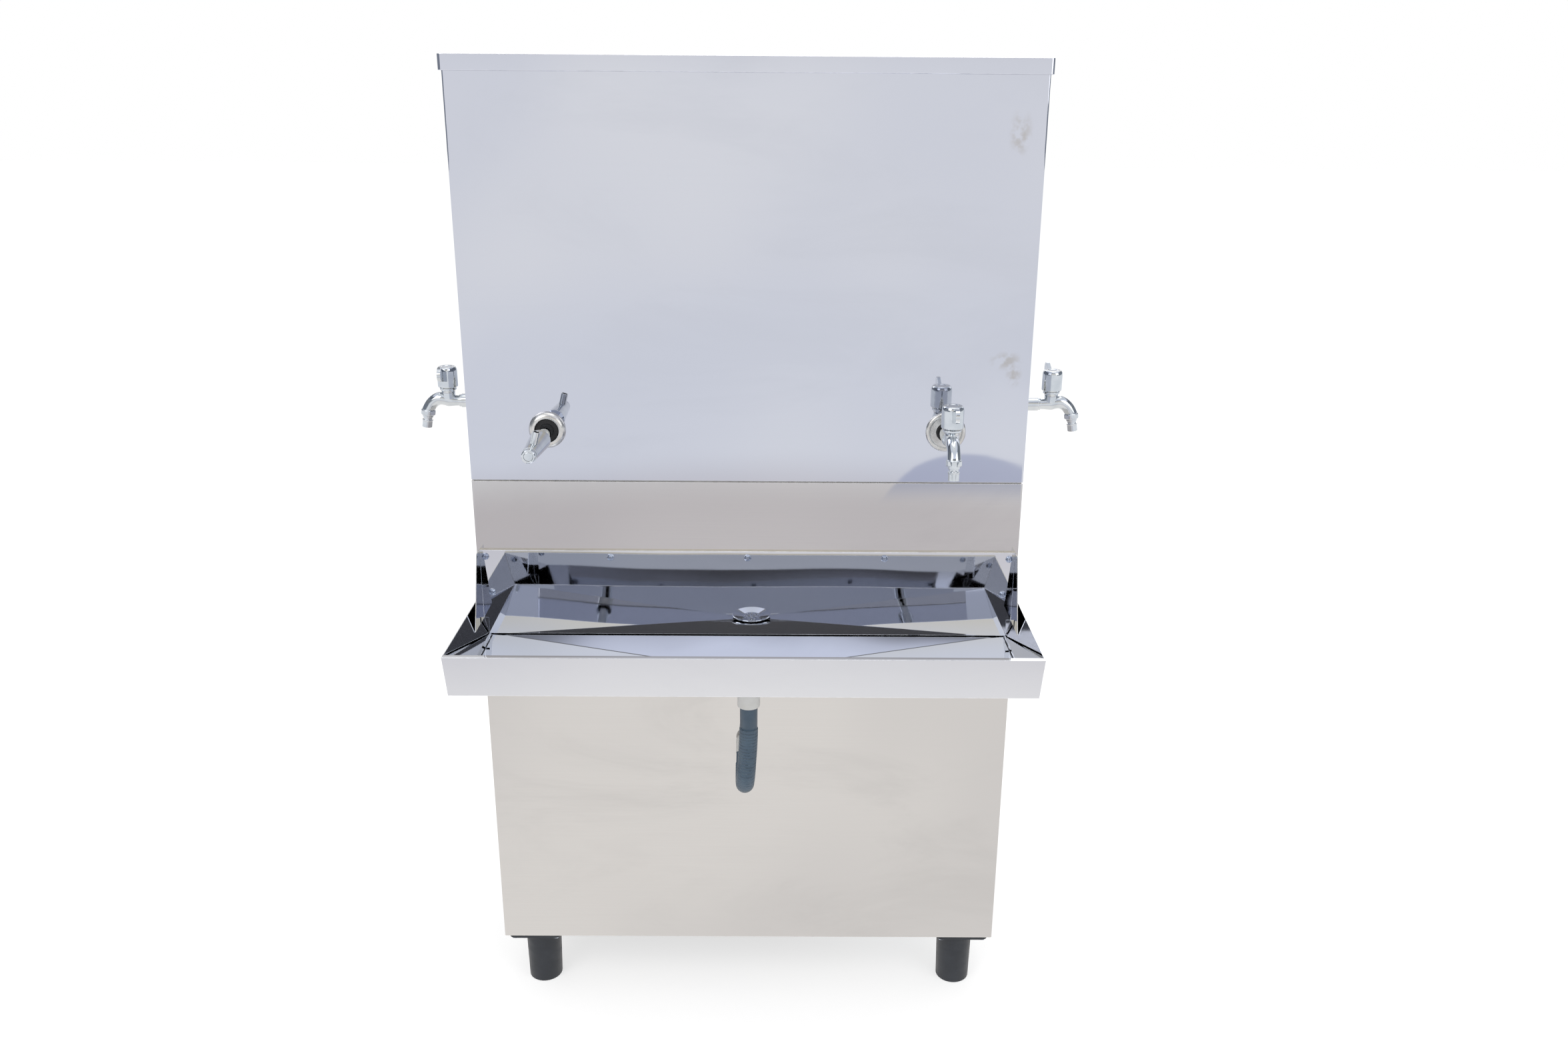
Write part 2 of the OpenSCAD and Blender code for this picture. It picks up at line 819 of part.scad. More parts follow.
// Corners of one turn of the coil, counter-clockwise from the rear middle
coil_corner_r = tank_corner_r + coil_gap + coil_r;
coil_half_x = tank_half_w + coil_gap + coil_r;
coil_half_y = (tank_y1 - tank_y0) / 2 + coil_gap + coil_r;
coil_turn_n = 4 * (coil_arc_n + 1);
coil_path = [
  for (i = [0 : coil_turns * coil_turn_n - 1])
    let (quarter = floor(i / (coil_arc_n + 1)), step = i % (coil_arc_n + 1))
    let (a = 90 * (quarter % 4) + 90 * step / coil_arc_n)
    let (sx = (quarter % 4 == 0 || quarter % 4 == 3) ? 1 : -1)
    let (sy = (quarter % 4 < 2) ? 1 : -1)
      [sx * (coil_half_x - coil_corner_r) + coil_corner_r * cos(a),
        tank_mid_y + sy * (coil_half_y - coil_corner_r) + coil_corner_r * sin(a),
        coil_start_z + coil_pitch * i / coil_turn_n]
];
coil_least_gap = min([
  for (i = [0 : len(coil_path) - coil_turn_n - 1])
    min([for (k = [-1 : 1])
      norm(coil_path[i + coil_turn_n + min(k, len(coil_path) - i - coil_turn_n - 1)] - coil_path[i])])
]) - 2 * coil_r;
echo(coil_least_gap = coil_least_gap);

module evaporator_coil() {
  color([0.72, 0.45, 0.3])
    in_frame() skin(tube_rings(coil_path, coil_r, coil_side_n, [0, 0, 1]));
}

// Lid: a plate with a skirt on all four sides
lid_low_z = case_top + gap - lid_skirt_h + sheet_t;
lid_y0 = -lid_front_over;
lid_y1 = case_d + lid_over;
module lid() {
  w = case_w + 2 * lid_over;
  color([0.75, 0.77, 0.8])
    in_frame() translate([0, (lid_y0 + lid_y1) / 2, lid_low_z]) difference() {
      linear_extrude(lid_skirt_h) round_rect(w, lid_y1 - lid_y0, lid_corner_r);
      translate([0, 0, -cut]) linear_extrude(lid_skirt_h - sheet_t + cut)
        round_rect(w - 2 * sheet_t, lid_y1 - lid_y0 - 2 * sheet_t, lid_corner_r - sheet_t);
    }
}

module lid_foam() {
  in = tank_t + lid_foam_in;
  color("ivory")
    in_frame() translate([0, tank_mid_y, case_top + gap - lid_foam_t]) linear_extrude(lid_foam_t)
      round_rect(2 * (tank_half_w - in), tank_y1 - tank_y0 - 2 * in, tank_corner_r);
}

// Solid with a flat top and a four-sided creased bottom that falls to one low point
module creased_block(top_half, top_y0, top_y1, top_z, low_half, low_y0, low_y1, low_z, low_point) {
  points = [
    [-top_half, top_y0, top_z], [top_half, top_y0, top_z],
    [top_half, top_y1, top_z], [-top_half, top_y1, top_z],
    [-low_half, low_y0, low_z], [low_half, low_y0, low_z],
    [low_half, low_y1, low_z], [-low_half, low_y1, low_z],
    low_point
  ];
  faces = [
    [3, 2, 1, 0],
    [0, 1, 5, 4], [1, 2, 6, 5], [2, 3, 7, 6], [3, 0, 4, 7],
    [4, 5, 8], [5, 6, 8], [6, 7, 8], [7, 4, 8]
  ];
  polyhedron(points, faces);
}

// Trough pan: leaning side walls, a boxed lip and a floor creased to the drain
module tray() {
  drain = [drain_x, -drain_y, tray_z - tray_sag];
  color([0.75, 0.76, 0.78])
    in_frame() difference() {
      union() {
        creased_block(tray_rim_half, -tray_reach + lip_w, 0, lip_top_z,
          tray_floor_half + tray_t, -tray_reach + lip_w, 0, tray_z - tray_t,
          drain - [0, 0, tray_t]);
        lip();
      }
      creased_block(tray_rim_half - tray_t + cut * (tray_rim_half - tray_floor_half) / lip_h,
        -tray_reach + lip_w + tray_t, -tray_t, lip_top_z + cut,
        tray_floor_half, -tray_reach + lip_w + tray_t, -tray_t, tray_z, drain);
      translate(drain - [0, 0, tray_sag])
        cylinder(h = 3 * tray_sag, r = drain_hole_r);
    }
}

// Lip: a folded channel, open below
module lip() {
  outer = [[-lip_low_half, tray_z], [lip_low_half, tray_z],
    [tray_rim_half, lip_top_z], [-tray_rim_half, lip_top_z]];
  difference() {
    translate([0, -tray_reach + lip_w + tray_t, 0]) rotate([90, 0, 0])
      linear_extrude(lip_w + tray_t) polygon(outer);
    block([-lip_low_half + tray_t, -tray_reach + tray_t, tray_z - cut],
      [lip_low_half - tray_t, -tray_reach + lip_w, lip_top_z - tray_t]);
  }
}

// Splash plate: a face with a top hem folded back to the panel and two side wings
module splash_plate() {
  floor_z = tray_z + tray_t;
  plate_back = -splash_off + tray_t;
  wing = concat([[plate_back, splash_top_z]],
    [for (s = wing_shares) [-s[0] * wing_reach, tray_z + s[1] * splash_h]],
    [[-wing_reach, wing_foot_z], [plate_back, wing_foot_z]]);
  color([0.72, 0.73, 0.75])
    in_frame() difference() {
      union() {
        block([-splash_half, -splash_off, wing_foot_z],
          [splash_half, plate_back, splash_top_z]);
        block([-tray_floor_half + tray_t, -splash_off, floor_z],
          [tray_floor_half - tray_t, plate_back, wing_foot_z]);
        block([-splash_half, -splash_off, splash_top_z - tray_t], [splash_half, 0, splash_top_z]);
        for (side = [-1, 1])
          translate([side * splash_half - (side > 0 ? tray_t : 0), 0, 0])
            rotate([90, 0, 0]) rotate([0, 90, 0])
              linear_extrude(tray_t) polygon(wing);
      }
      trough_screw_places() screw_hole();
    }
}

// Places of the trough's seven screws, on the splash plate's face
module trough_screw_places() {
  for (x = top_screw_x)
    for (side = x == 0 ? [1] : [-1, 1])
      translate([side * x, -splash_off, top_screw_z]) children();
  for (side = [-1, 1])
    translate([side * low_screw_x, -splash_off, low_screw_z]) children();
}

module screw_hole() {
  rotate([-90, 0, 0]) translate([0, 0, -cut])
    cylinder(h = splash_off + sheet_t + 2 * cut, r = screw_r + hole_gap);
}

// Pan-head screws with a washer face and a cross recess
module tray_screws() {
  color([0.55, 0.6, 0.66])
    in_frame() trough_screw_places() difference() {
      union() {
        rotate([90, 0, 0]) cylinder(h = screw_washer_t, r = screw_head_r);
        rotate([90, 0, 0]) translate([0, 0, screw_washer_t])
          cylinder(h = screw_head_h - screw_washer_t, r1 = screw_head_r - screw_washer_t,
            r2 = screw_head_r - screw_head_h);
        rotate([-90, 0, 0]) cylinder(h = splash_off + sheet_t + screw_tail, r = screw_r);
      }
      for (turn = [0, 90])
        rotate([0, turn, 0])
          block([-screw_recess_r, -screw_head_h - cut, -screw_recess_d / 4],
            [screw_recess_r, -screw_head_h + screw_recess_d, screw_recess_d / 4]);
    }
}

// Steepest fall of the floor beside the drain, and the height where the cup meets the pan
floor_fall = tray_sag / (tray_reach - lip_w - tray_t - drain_y);
cup_rim_z = tray_z - tray_sag - tray_t + drain_hole_r * tray_sag / tray_floor_half - gap;

// Strainer: a dished flange on the trough's floor, with a tail that goes down into the cup
module drain_strainer() {
  z = tray_z - tray_sag + floor_fall * drain_hole_r + dish_t + gap;
  tail_z = cup_rim_z - tail_dip - z;
  color([0.7, 0.71, 0.73])
    in_frame() translate([drain_x, -drain_y, z]) difference() {
      rotate_extrude()
        polygon([[0, -dish_t], [tail_r - dish_t, -dish_t], [tail_r - dish_t, tail_z],
          [tail_r, tail_z], [tail_r, -dish_t], [dish_in_r, -dish_t],
          [dish_r - dish_t, dish_rise - dish_t], [dish_r, dish_rise], [dish_r, dish_rise + dish_t],
          [dish_r - dish_t, dish_rise + dish_t], [dish_in_r, 0], [0, 0]]);
      for (share = strainer_ring_shares)
        for (k = [0 : strainer_ring_n - 1])
          rotate([0, 0, 360 * k / strainer_ring_n]) translate([share * dish_in_r, 0, -2 * dish_t])
            cylinder(h = 3 * dish_t, r = strainer_hole_r);
    }
}

// White cup under the trough, with the spigot for the hose
module drain_cup() {
  top = cup_rim_z - cup_low_z;
  wall = 2 * pipe_wall;
  color("white")
    in_frame() translate([drain_x, -drain_y, cup_low_z]) rotate_extrude()
      polygon([
        [cup_bore_r, -cup_spigot_l], [cup_spigot_r, -cup_spigot_l], [cup_spigot_r, 0],
        [cup_r - pipe_wall, 0], [cup_r, pipe_wall], [cup_r, top - cup_flange_t],
        [cup_flange_r, top - cup_flange_t], [cup_flange_r, top], [cup_r - wall, top],
        [cup_r - wall, wall], [cup_bore_r, wall]
      ]);
}

// Centre line of the hose by the length run: down, round the bend, then up to the elbow
hose_mouth_y = -elbow_out - elbow_seat * cos(hose_end_angle);
hose_mouth_z = elbow_z - elbow_seat * sin(hose_end_angle);
hose_bend_y = -drain_y + hose_bend_r;
hose_rise = (hose_mouth_y - hose_bend_y - hose_bend_r * sin(hose_end_angle)) / cos(hose_end_angle);
hose_bend_z = hose_mouth_z - hose_rise * sin(hose_end_angle) + hose_bend_r * cos(hose_end_angle);
hose_drop = cup_low_z - hose_bend_z;
hose_bend_len = PI * hose_bend_r * (90 + hose_end_angle) / 180;
hose_len = hose_drop + hose_bend_len + hose_rise;
hose_lead = 2 * hose_rib_r;

function ease(t) = t <= 0 ? 0 : t >= 1 ? 1 : t * t * (3 - 2 * t);
function hose_x(s) =
  drain_x + (elbow_x - drain_x) * ease((s - hose_lead) / (hose_len - 2 * hose_lead));
function hose_point(s) =
  s <= hose_drop ? [hose_x(s), -drain_y, cup_low_z - s] :
  s <= hose_drop + hose_bend_len ?
    let (a = 180 + (90 + hose_end_angle) * (s - hose_drop) / hose_bend_len)
      [hose_x(s), hose_bend_y + hose_bend_r * cos(a), hose_bend_z + hose_bend_r * sin(a)] :
    let (rest = hose_len - s)
      [hose_x(s), hose_mouth_y - rest * cos(hose_end_angle),
        hose_mouth_z - rest * sin(hose_end_angle)];
function hose_way(s) =
  let (step = rib_pitch / 8)
    unit(hose_point(min(s + step, hose_len)) - hose_point(max(s - step, 0)));
function hose_ring(s, r) =
  let (way = hose_way(s), up = unit(cross(way, [1, 0, 0])), side = cross(up, way))
    ring(hose_point(s), side, up, r, r, hose_sides);

rib_n = floor((hose_len - hose_cuff_top - hose_cuff_low) / rib_pitch);
rib_step = (hose_len - hose_cuff_top - hose_cuff_low) / rib_n;
// A ring's corners stand out so far that its flats lie on the stated radius
flat_share = 1 / cos(180 / hose_sides);

module drain_hose() {
  outer = concat(
    [hose_ring(0, hose_cuff_r)],
    [for (k = [0 : rib_n - 1])
      each [hose_ring(hose_cuff_top + k * rib_step, hose_valley_r),
        hose_ring(hose_cuff_top + (k + 0.5) * rib_step, hose_rib_r)]],
    [hose_ring(hose_len - hose_cuff_low, hose_valley_r), hose_ring(hose_len, hose_cuff_r)]
  );
  inner = [for (k = [0 : hose_bore_n])
    hose_ring(hose_len * k / hose_bore_n, hose_bore_r * flat_share)];
  color([0.33, 0.42, 0.48])
    in_frame() hollow_skin(outer, inner);
}

// White elbow on the front panel; its mouth takes the hose and its tail goes through the panel
module hose_elbow() {
  centre = [elbow_x, -elbow_out, elbow_z];
  way = [0, -cos(hose_end_angle), -sin(hose_end_angle)];
  color("white")
    in_frame() difference() {
      union() {
        translate(centre) sphere(elbow_ball_r);
        rod(centre, [elbow_x, elbow_tail, elbow_z], elbow_stub_r, elbow_stub_r);
        rod(centre, centre + elbow_mouth_l * way, elbow_mouth_r, elbow_mouth_r);
      }
      rod(centre + elbow_seat * way, centre + (elbow_mouth_l + cut) * way,
        hose_cuff_r + fit, hose_cuff_r + fit);
      translate(centre) sphere(elbow_hollow_r);
      rod(centre, centre + (elbow_seat + cut) * way, cup_bore_r, cup_bore_r);
      rod(centre, [elbow_x, cut, elbow_z], cup_bore_r, cup_bore_r);
      rod([elbow_x, 0, elbow_z], [elbow_x, elbow_tail + cut, elbow_z],
        drain_pipe_r + fit, drain_pipe_r + fit);
    }
}

module drain_pipe() {
  color("gainsboro")
    in_frame() translate([elbow_x, 0, elbow_z]) rotate([-90, 0, 0]) difference() {
      union() {
        cylinder(h = case_d + rear_reach, r = drain_pipe_r);
        translate([0, 0, case_d]) cylinder(h = pipe_collar_w, r = drain_pipe_r + pipe_collar_w);
      }
      translate([0, 0, -cut])
        cylinder(h = case_d + rear_reach + 2 * cut, r = drain_pipe_r - pipe_wall);
    }
}

// Compressor: a domed steel shell with a welded seam, a foot plate and two stubs
comp_z = sheet_t + pan_t + comp_lift;
comp_mid_z = comp_z + comp_foot_t + comp_h / 2;
module compressor() {
  color([0.1, 0.1, 0.11])
    in_frame() translate([comp_x, comp_y, comp_z]) difference() {
      union() {
        translate([0, 0, comp_foot_t]) rotate_extrude() polygon(concat(
          [[0, 0], [comp_r - comp_seam_r * 4, 0], [comp_r, comp_seam_r * 5],
            [comp_r, comp_h / 2 - comp_seam_r], [comp_r + comp_seam_r, comp_h / 2 - comp_seam_r],
            [comp_r + comp_seam_r, comp_h / 2 + comp_seam_r], [comp_r, comp_h / 2 + comp_seam_r]],
          [for (k = [0 : 8]) let (a = 90 * k / 8)
            [comp_r * cos(a), comp_h - comp_dome + comp_dome * sin(a)]]));
        linear_extrude(comp_foot_t)
          round_rect(comp_foot_w, comp_foot_w, mount_r);
        for (turn = [-comp_stub_turn, comp_stub_turn])
          rotate([0, 0, turn]) translate([comp_r - comp_seam_r, 0, comp_mid_z - comp_z])
            rotate([0, 90, 0]) cylinder(h = comp_stub_l + comp_seam_r, r = comp_stub_r);
      }
      translate([-comp_x, -comp_y, -comp_z]) compressor_feet() translate([0, 0, comp_z - cut])
        cylinder(h = comp_foot_t + 2 * cut, r = mount_bolt_r + hole_gap);
    }
}

// Places of the compressor's four rubber mounts
module compressor_feet() {
  reach = comp_foot_w / 2 - mount_r;
  for (sx = [-1, 1])
    for (sy = [-1, 1])
      translate([comp_x + sx * reach, comp_y + sy * reach, 0]) children();
}

module compressor_mounts() {
  low = sheet_t + pan_t;
  color("dimgray")
    in_frame() compressor_feet() {
      translate([0, 0, low]) rotate_extrude() polygon([
        [mount_bolt_r + hole_gap, 0], [mount_r, 0], [mount_r, comp_lift / 3],
        [mount_waist_r, comp_lift / 2], [mount_r, comp_lift * 2 / 3], [mount_r, comp_lift],
        [mount_bolt_r + hole_gap, comp_lift]
      ]);
      translate([0, 0, low - pan_t]) cylinder(h = comp_z + comp_foot_t - low + pan_t, r = mount_bolt_r);
      translate([0, 0, comp_z + comp_foot_t])
        cylinder(h = mount_head_h, r = 2 * mount_bolt_r, $fn = 6);
    }
}

// Condenser: a serpentine tube through a stack of fins between two end plates
cond_bends = 3;
cond_rows = 2 * cond_bends + 1;
cond_z = sheet_t + pan_t + cond_lift;
cond_pitch = cond_h / cond_rows;
cond_mid_y = cond_y + cond_t / 2;
cond_top_z = cond_z + cond_h - cond_pitch / 2;
cond_low_z = cond_z + cond_pitch / 2;
cond_tail = 8;
module condenser() {
  left = cond_x - cond_w / 2;
  right = cond_x + cond_w / 2;
  color([0.7, 0.72, 0.74])
    in_frame() {
      for (k = [1 : cond_fins]) {
        x = left + cond_w * k / (cond_fins + 1);
        block([x - fin_t / 2, cond_y + shroud_gap, cond_z],
          [x + fin_t / 2, cond_y + cond_t, cond_z + cond_h]);
      }
      for (x = [left, right - cond_plate_t])
        block([x, cond_y, sheet_t + pan_t], [x + cond_plate_t, cond_y + cond_t, cond_z + cond_h]);
      for (row = [0 : cond_rows - 1]) {
        z = cond_top_z - row * cond_pitch;
        from = row == 0 ? left - cond_tail : left;
        to = row == cond_rows - 1 ? right + cond_tail : right;
        rod([from, cond_mid_y, z], [to, cond_mid_y, z], cond_tube_r, cond_tube_r);
        if (row < cond_rows - 1)
          translate([row % 2 == 0 ? right : left, cond_mid_y, z - cond_pitch / 2])
            rotate([90, row % 2 == 0 ? 0 : 180, 0]) rotate([0, 0, -90])
              rotate_extrude(angle = 180) translate([cond_pitch / 2, 0]) circle(cond_tube_r);
      }
    }
}

// Fan shroud: a plate with a collar round the fan, on the condenser's end plates
fan_z = cond_z + cond_h / 2;
ring_r = fan_r + fan_tip_gap;
module fan_shroud() {
  color([0.16, 0.16, 0.17])
    in_frame() difference() {
      union() {
        block([cond_x - cond_w / 2, cond_y - shroud_t, cond_z],
          [cond_x + cond_w / 2, cond_y, cond_z + cond_h]);
        translate([cond_x, cond_y - shroud_ring, fan_z]) rotate([-90, 0, 0])
          cylinder(h = shroud_ring, r = ring_r + shroud_t);
      }
      translate([cond_x, cond_y - shroud_ring - cut, fan_z]) rotate([-90, 0, 0])
        cylinder(h = shroud_ring + 2 * cut, r = ring_r);
    }
}

// Fan motor on four arms that rest on the shroud's collar
module fan_motor() {
  arm_reach = ring_r + shroud_t;
  color([0.22, 0.22, 0.24])
    in_frame() translate([cond_x, cond_y - shroud_ring, fan_z]) rotate([90, 0, 0]) {
      intersection() {
        for (turn = [0, 90])
          rotate([0, 0, 45 + turn]) translate([0, 0, motor_arm_t / 2])
            cube([2 * arm_reach, motor_arm_w, motor_arm_t], center = true);
        cylinder(h = motor_arm_t, r = arm_reach);
      }
      cylinder(h = motor_l, r = motor_r);
      translate([0, 0, motor_l]) cylinder(h = motor_arm_t, r1 = motor_r, r2 = motor_r - motor_arm_t);
      translate([0, 0, -shroud_ring + 2 * fan_blade_t])
        cylinder(h = shroud_ring, r = motor_shaft_r);
    }
}

module fan_blade() {
  mid_y = cond_y - shroud_ring / 2;
  hub_l = shroud_ring - 2 * fan_blade_t;
  chord = (shroud_ring - 3 * fan_blade_t) / sin(fan_pitch);
  color("dimgray")
    in_frame() translate([cond_x, mid_y, fan_z]) rotate([90, 0, 0]) difference() {
      union() {
        translate([0, 0, -hub_l / 2]) cylinder(h = hub_l, r = fan_hub_r);
        intersection() {
          for (k = [0 : fan_blades - 1])
            rotate([0, 0, 360 * k / fan_blades]) rotate([fan_pitch, 0, 0])
              translate([fan_hub_r / 2, -chord / 2, -fan_blade_t / 2])
                cube([fan_r, chord, fan_blade_t]);
          cylinder(h = shroud_ring, r = fan_r, center = true);
        }
      }
      cylinder(h = 2 * shroud_ring, r = motor_shaft_r + fit, center = true);
    }
}

// Lines of the refrigerant, from joint to joint
coil_start = coil_path[0];
coil_end = coil_path[len(coil_path) - 1];
tail_back = 60;
tail_run = 140;
tail_shift = coil_r + pipe_r + tail_gap;
joint_gap = 0.2;
drier_z = cond_z + cond_h + 3 * pipe_bend_r;
drier_x = coil_start[0];
drier_y = coil_start[1] - tail_back;
stub_from = comp_r + comp_stub_l + joint_gap;
stub_lead = stub_from + 2 * pipe_bend_r;
function stub_point(turn, reach) =
  [comp_x + reach * cos(turn), comp_y + reach * sin(turn), comp_mid_z];
discharge_x = cond_x - cond_w / 2 - cond_tail - 2 * pipe_bend_r;
discharge_line = [
  stub_point(comp_stub_turn, stub_from), stub_point(comp_stub_turn, stub_lead),
  [discharge_x, cond_mid_y, comp_mid_z], [discharge_x, cond_mid_y, cond_top_z],
  [cond_x - cond_w / 2 - cond_tail - joint_gap, cond_mid_y, cond_top_z]
];
liquid_line = [
  [cond_x + cond_w / 2 + cond_tail + joint_gap, cond_mid_y, cond_low_z],
  [drier_x, cond_mid_y, cond_low_z], [drier_x, drier_y, cond_low_z],
  [drier_x, drier_y, drier_z - joint_gap]
];
feed_line = [
  [drier_x, drier_y, drier_z + drier_l + joint_gap],
  [drier_x, drier_y, coil_start[2]],
  coil_start - [0, joint_gap, 0]
];
suction_y = coil_end[1] + tail_run;
suction_x = coil_end[0] + tail_shift;
suction_line = [
  coil_end + [0, joint_gap, 0], coil_end + [0, tail_run / 4, 0],
  [suction_x, coil_end[1] + tail_run * 0.7, coil_end[2]],
  [suction_x, suction_y, coil_end[2]], [suction_x, suction_y, comp_mid_z],
  stub_point(-comp_stub_turn, stub_lead), stub_point(-comp_stub_turn, stub_from)
];

module refrigerant_pipes() {
  color([0.72, 0.45, 0.3])
    in_frame() for (line = [discharge_line, liquid_line, feed_line, suction_line])
      skin(tube_rings(rounded_path(line, pipe_bend_r, pipe_arc_n), pipe_r, pipe_sides,
        pipe_side_shares));
}

module filter_drier() {
  color([0.72, 0.45, 0.3])
    in_frame() translate([drier_x, drier_y, drier_z]) rotate_extrude() polygon([
      [0, 0], [comp_stub_r, 0], [comp_stub_r, drier_r / 2], [drier_r, drier_r],
      [drier_r, drier_l - drier_r], [comp_stub_r, drier_l - drier_r / 2],
      [comp_stub_r, drier_l], [0, drier_l]
    ]);
}

module thermostat() {
  lug = thermo_d / 6;
  color("ivory")
    in_frame() translate([thermo_x, wrap_d, thermo_z]) difference() {
      union() {
        block([-thermo_w / 2, -thermo_d, -thermo_h / 2], [thermo_w / 2, 0, thermo_h / 2]);
        for (sx = [-1, 1])
          block([sx * thermo_w / 4 - lug / 2, -thermo_d - lug, -thermo_h / 4],
            [sx * thermo_w / 4 + lug / 2, -thermo_d, thermo_h / 4]);
      }
      translate([0, cut, 0]) rotate([90, 0, 0])
        cylinder(h = knob_shaft_l + 2 * cut, r = knob_shaft_r + fit);
    }
}

module thermostat_knob() {
  color([0.12, 0.12, 0.13])
    in_frame() translate([thermo_x, case_d + gap, thermo_z]) rotate([-90, 0, 0]) {
      cylinder(h = knob_base_h, r1 = knob_base_r, r2 = knob_r);
      cylinder(h = knob_h * 0.6, r = knob_r - knob_base_h);
      translate([0, 0, knob_h / 2]) intersection() {
        cube([2 * knob_r, knob_base_h * 2.5, knob_h], center = true);
        cylinder(h = knob_h, r1 = knob_r, r2 = knob_r - knob_base_h, center = true);
      }
      translate([0, 0, -knob_shaft_l]) cylinder(h = knob_shaft_l, r = knob_shaft_r);
    }
}

// Cable gland in the rear cover; its cable isn't part of the model
module cord_gland() {
  hex_h = gland_out / 3;
  color([0.13, 0.13, 0.14])
    in_frame() translate([gland_x, case_d, gland_z]) rotate([-90, 0, 0]) difference() {
      union() {
        cylinder(h = hex_h, r = gland_hex_r, $fn = 6);
        translate([0, 0, hex_h]) cylinder(h = gland_out - hex_h, r1 = gland_r * 1.2, r2 = gland_r * 0.8);
        translate([0, 0, -3 * hex_h / 2]) cylinder(h = 3 * hex_h / 2, r = gland_r);
        translate([0, 0, -sheet_t - hex_h]) cylinder(h = hex_h, r = gland_hex_r, $fn = 6);
      }
      translate([0, 0, -2 * gland_out]) cylinder(h = 4 * gland_out, r = gland_bore_r);
    }
}

// Water supply: a nipple through the rear wall, foam and tank
inlet_in_y = tank_y1 - tank_t - 2 * nut_t;
module inlet_nipple() {
  color("gold")
    in_frame() translate([inlet_x, 0, inlet_z]) difference() {
      union() {
        rod([0, inlet_in_y, 0], [0, case_d + rear_reach, 0], inlet_r, inlet_r);
        translate([0, case_d, 0]) rotate([-90, 0, 0])
          cylinder(h = nut_t, r = inlet_r * 1.5, $fn = 6);
        translate([0, tank_y1 - tank_t - nut_t, 0]) rotate([-90, 0, 0])
          cylinder(h = nut_t, r = inlet_r * 1.5, $fn = 6);
      }
      rod([0, inlet_in_y - cut, 0], [0, case_d + rear_reach + cut, 0], inlet_bore_r, inlet_bore_r);
    }
}

// Float valve: a barrel on the nipple, with a fork and pin that carry the arm
pivot_y = inlet_in_y - valve_l - 2 * arm_eye_r + arm_pin_r;
module float_valve() {
  inner = arm_eye_t / 2 + gap;
  end_y = inlet_in_y - valve_l;
  color("gold")
    in_frame() translate([inlet_x, 0, inlet_z]) difference() {
      union() {
        rod([0, end_y, 0], [0, inlet_in_y, 0], valve_r, valve_r);
        for (side = [-1, 1])
          translate([side * (inner + valve_fork_t / 2), 0, 0]) {
            block([-valve_fork_t / 2, pivot_y, -arm_eye_r],
              [valve_fork_t / 2, end_y + cut, arm_eye_r]);
            translate([-valve_fork_t / 2, pivot_y, 0]) rotate([0, 90, 0])
              cylinder(h = valve_fork_t, r = arm_eye_r);
          }
        translate([-inner - cut, pivot_y, 0]) rotate([0, 90, 0])
          cylinder(h = 2 * (inner + cut), r = arm_pin_r);
      }
      rod([0, end_y + valve_fork_t, 0], [0, inlet_in_y + cut, 0], inlet_bore_r, inlet_bore_r);
    }
}

// Float arm and ball, hanging at its lower stop
arm_rest = 30;
module float_arm() {
  color("darkorange")
    in_frame() translate([inlet_x, pivot_y, inlet_z]) rotate([arm_rest, 0, 0]) difference() {
      union() {
        translate([-arm_eye_t / 2, 0, 0]) rotate([0, 90, 0])
          cylinder(h = arm_eye_t, r = arm_eye_r - gap);
        rod([0, 0, 0], [0, -arm_len, 0], arm_r, arm_r);
        translate([0, -arm_len, 0]) sphere(ball_r);
      }
      translate([-arm_eye_t, 0, 0]) rotate([0, 90, 0])
        cylinder(h = 2 * arm_eye_t, r = arm_pin_r + fit);
    }
}

// Profile revolved about the outward direction of a tap; points are [distance out, radius]
module turned(profile) {
  rotate([0, 90, 0]) rotate_extrude() polygon([for (p = profile) [p[1], p[0]]]);
}

nut_face = -foam_gap - tank_t;
nipple_in = nut_face - 2 * nut_t;

module tap_lock_nuts() {
  color("gold")
    in_frame() {
      at_taps(jet = false) lock_nut(nipple_r);
      at_taps(left = false, right = false, front = false) lock_nut(jet_neck_r);
    }
}

module lock_nut(bore) {
  difference() {
    union() {
      translate([nut_face - washer_t, 0, 0]) rotate([0, 90, 0]) cylinder(h = washer_t, r = nut_r);
      translate([nut_face - washer_t - nut_t, 0, 0]) rotate([0, 90, 0])
        cylinder(h = nut_t + cut, r = washer_r, $fn = 6);
    }
    translate([2 * nut_face, 0, 0]) rotate([0, 90, 0]) cylinder(h = -2 * nut_face, r = bore + fit);
  }
}

// Wall flanges: a shallow dish with a rolled rim
module tap_flanges() {
  color("silver")
    in_frame() at_taps(jet = false) turned(concat(
      [[0, flange_hole_r], [0, flange_r]],
      [for (k = [1 : 8]) let (a = 180 * k / 8 * 0.8)
        [flange_rim_r * sin(a), flange_r - flange_rim_r + flange_rim_r * cos(a)]],
      [[flange_dish_z, flange_hole_r]]));
}

module tap_gaskets() {
  color([0.1, 0.1, 0.1])
    in_frame() at_taps(jet = false) turned([
      [0, nipple_r + fit], [0, flange_hole_r - fit],
      [gasket_t, flange_hole_r - gasket_t / 4], [gasket_t, nipple_r + fit]
    ]);
}

module tap_nipple(out) {
  turned([
    [nipple_in, nipple_bore_r], [nipple_in, nipple_r], [out - casting_in, nipple_r],
    [out - casting_in, nipple_bore_r]
  ]);
}

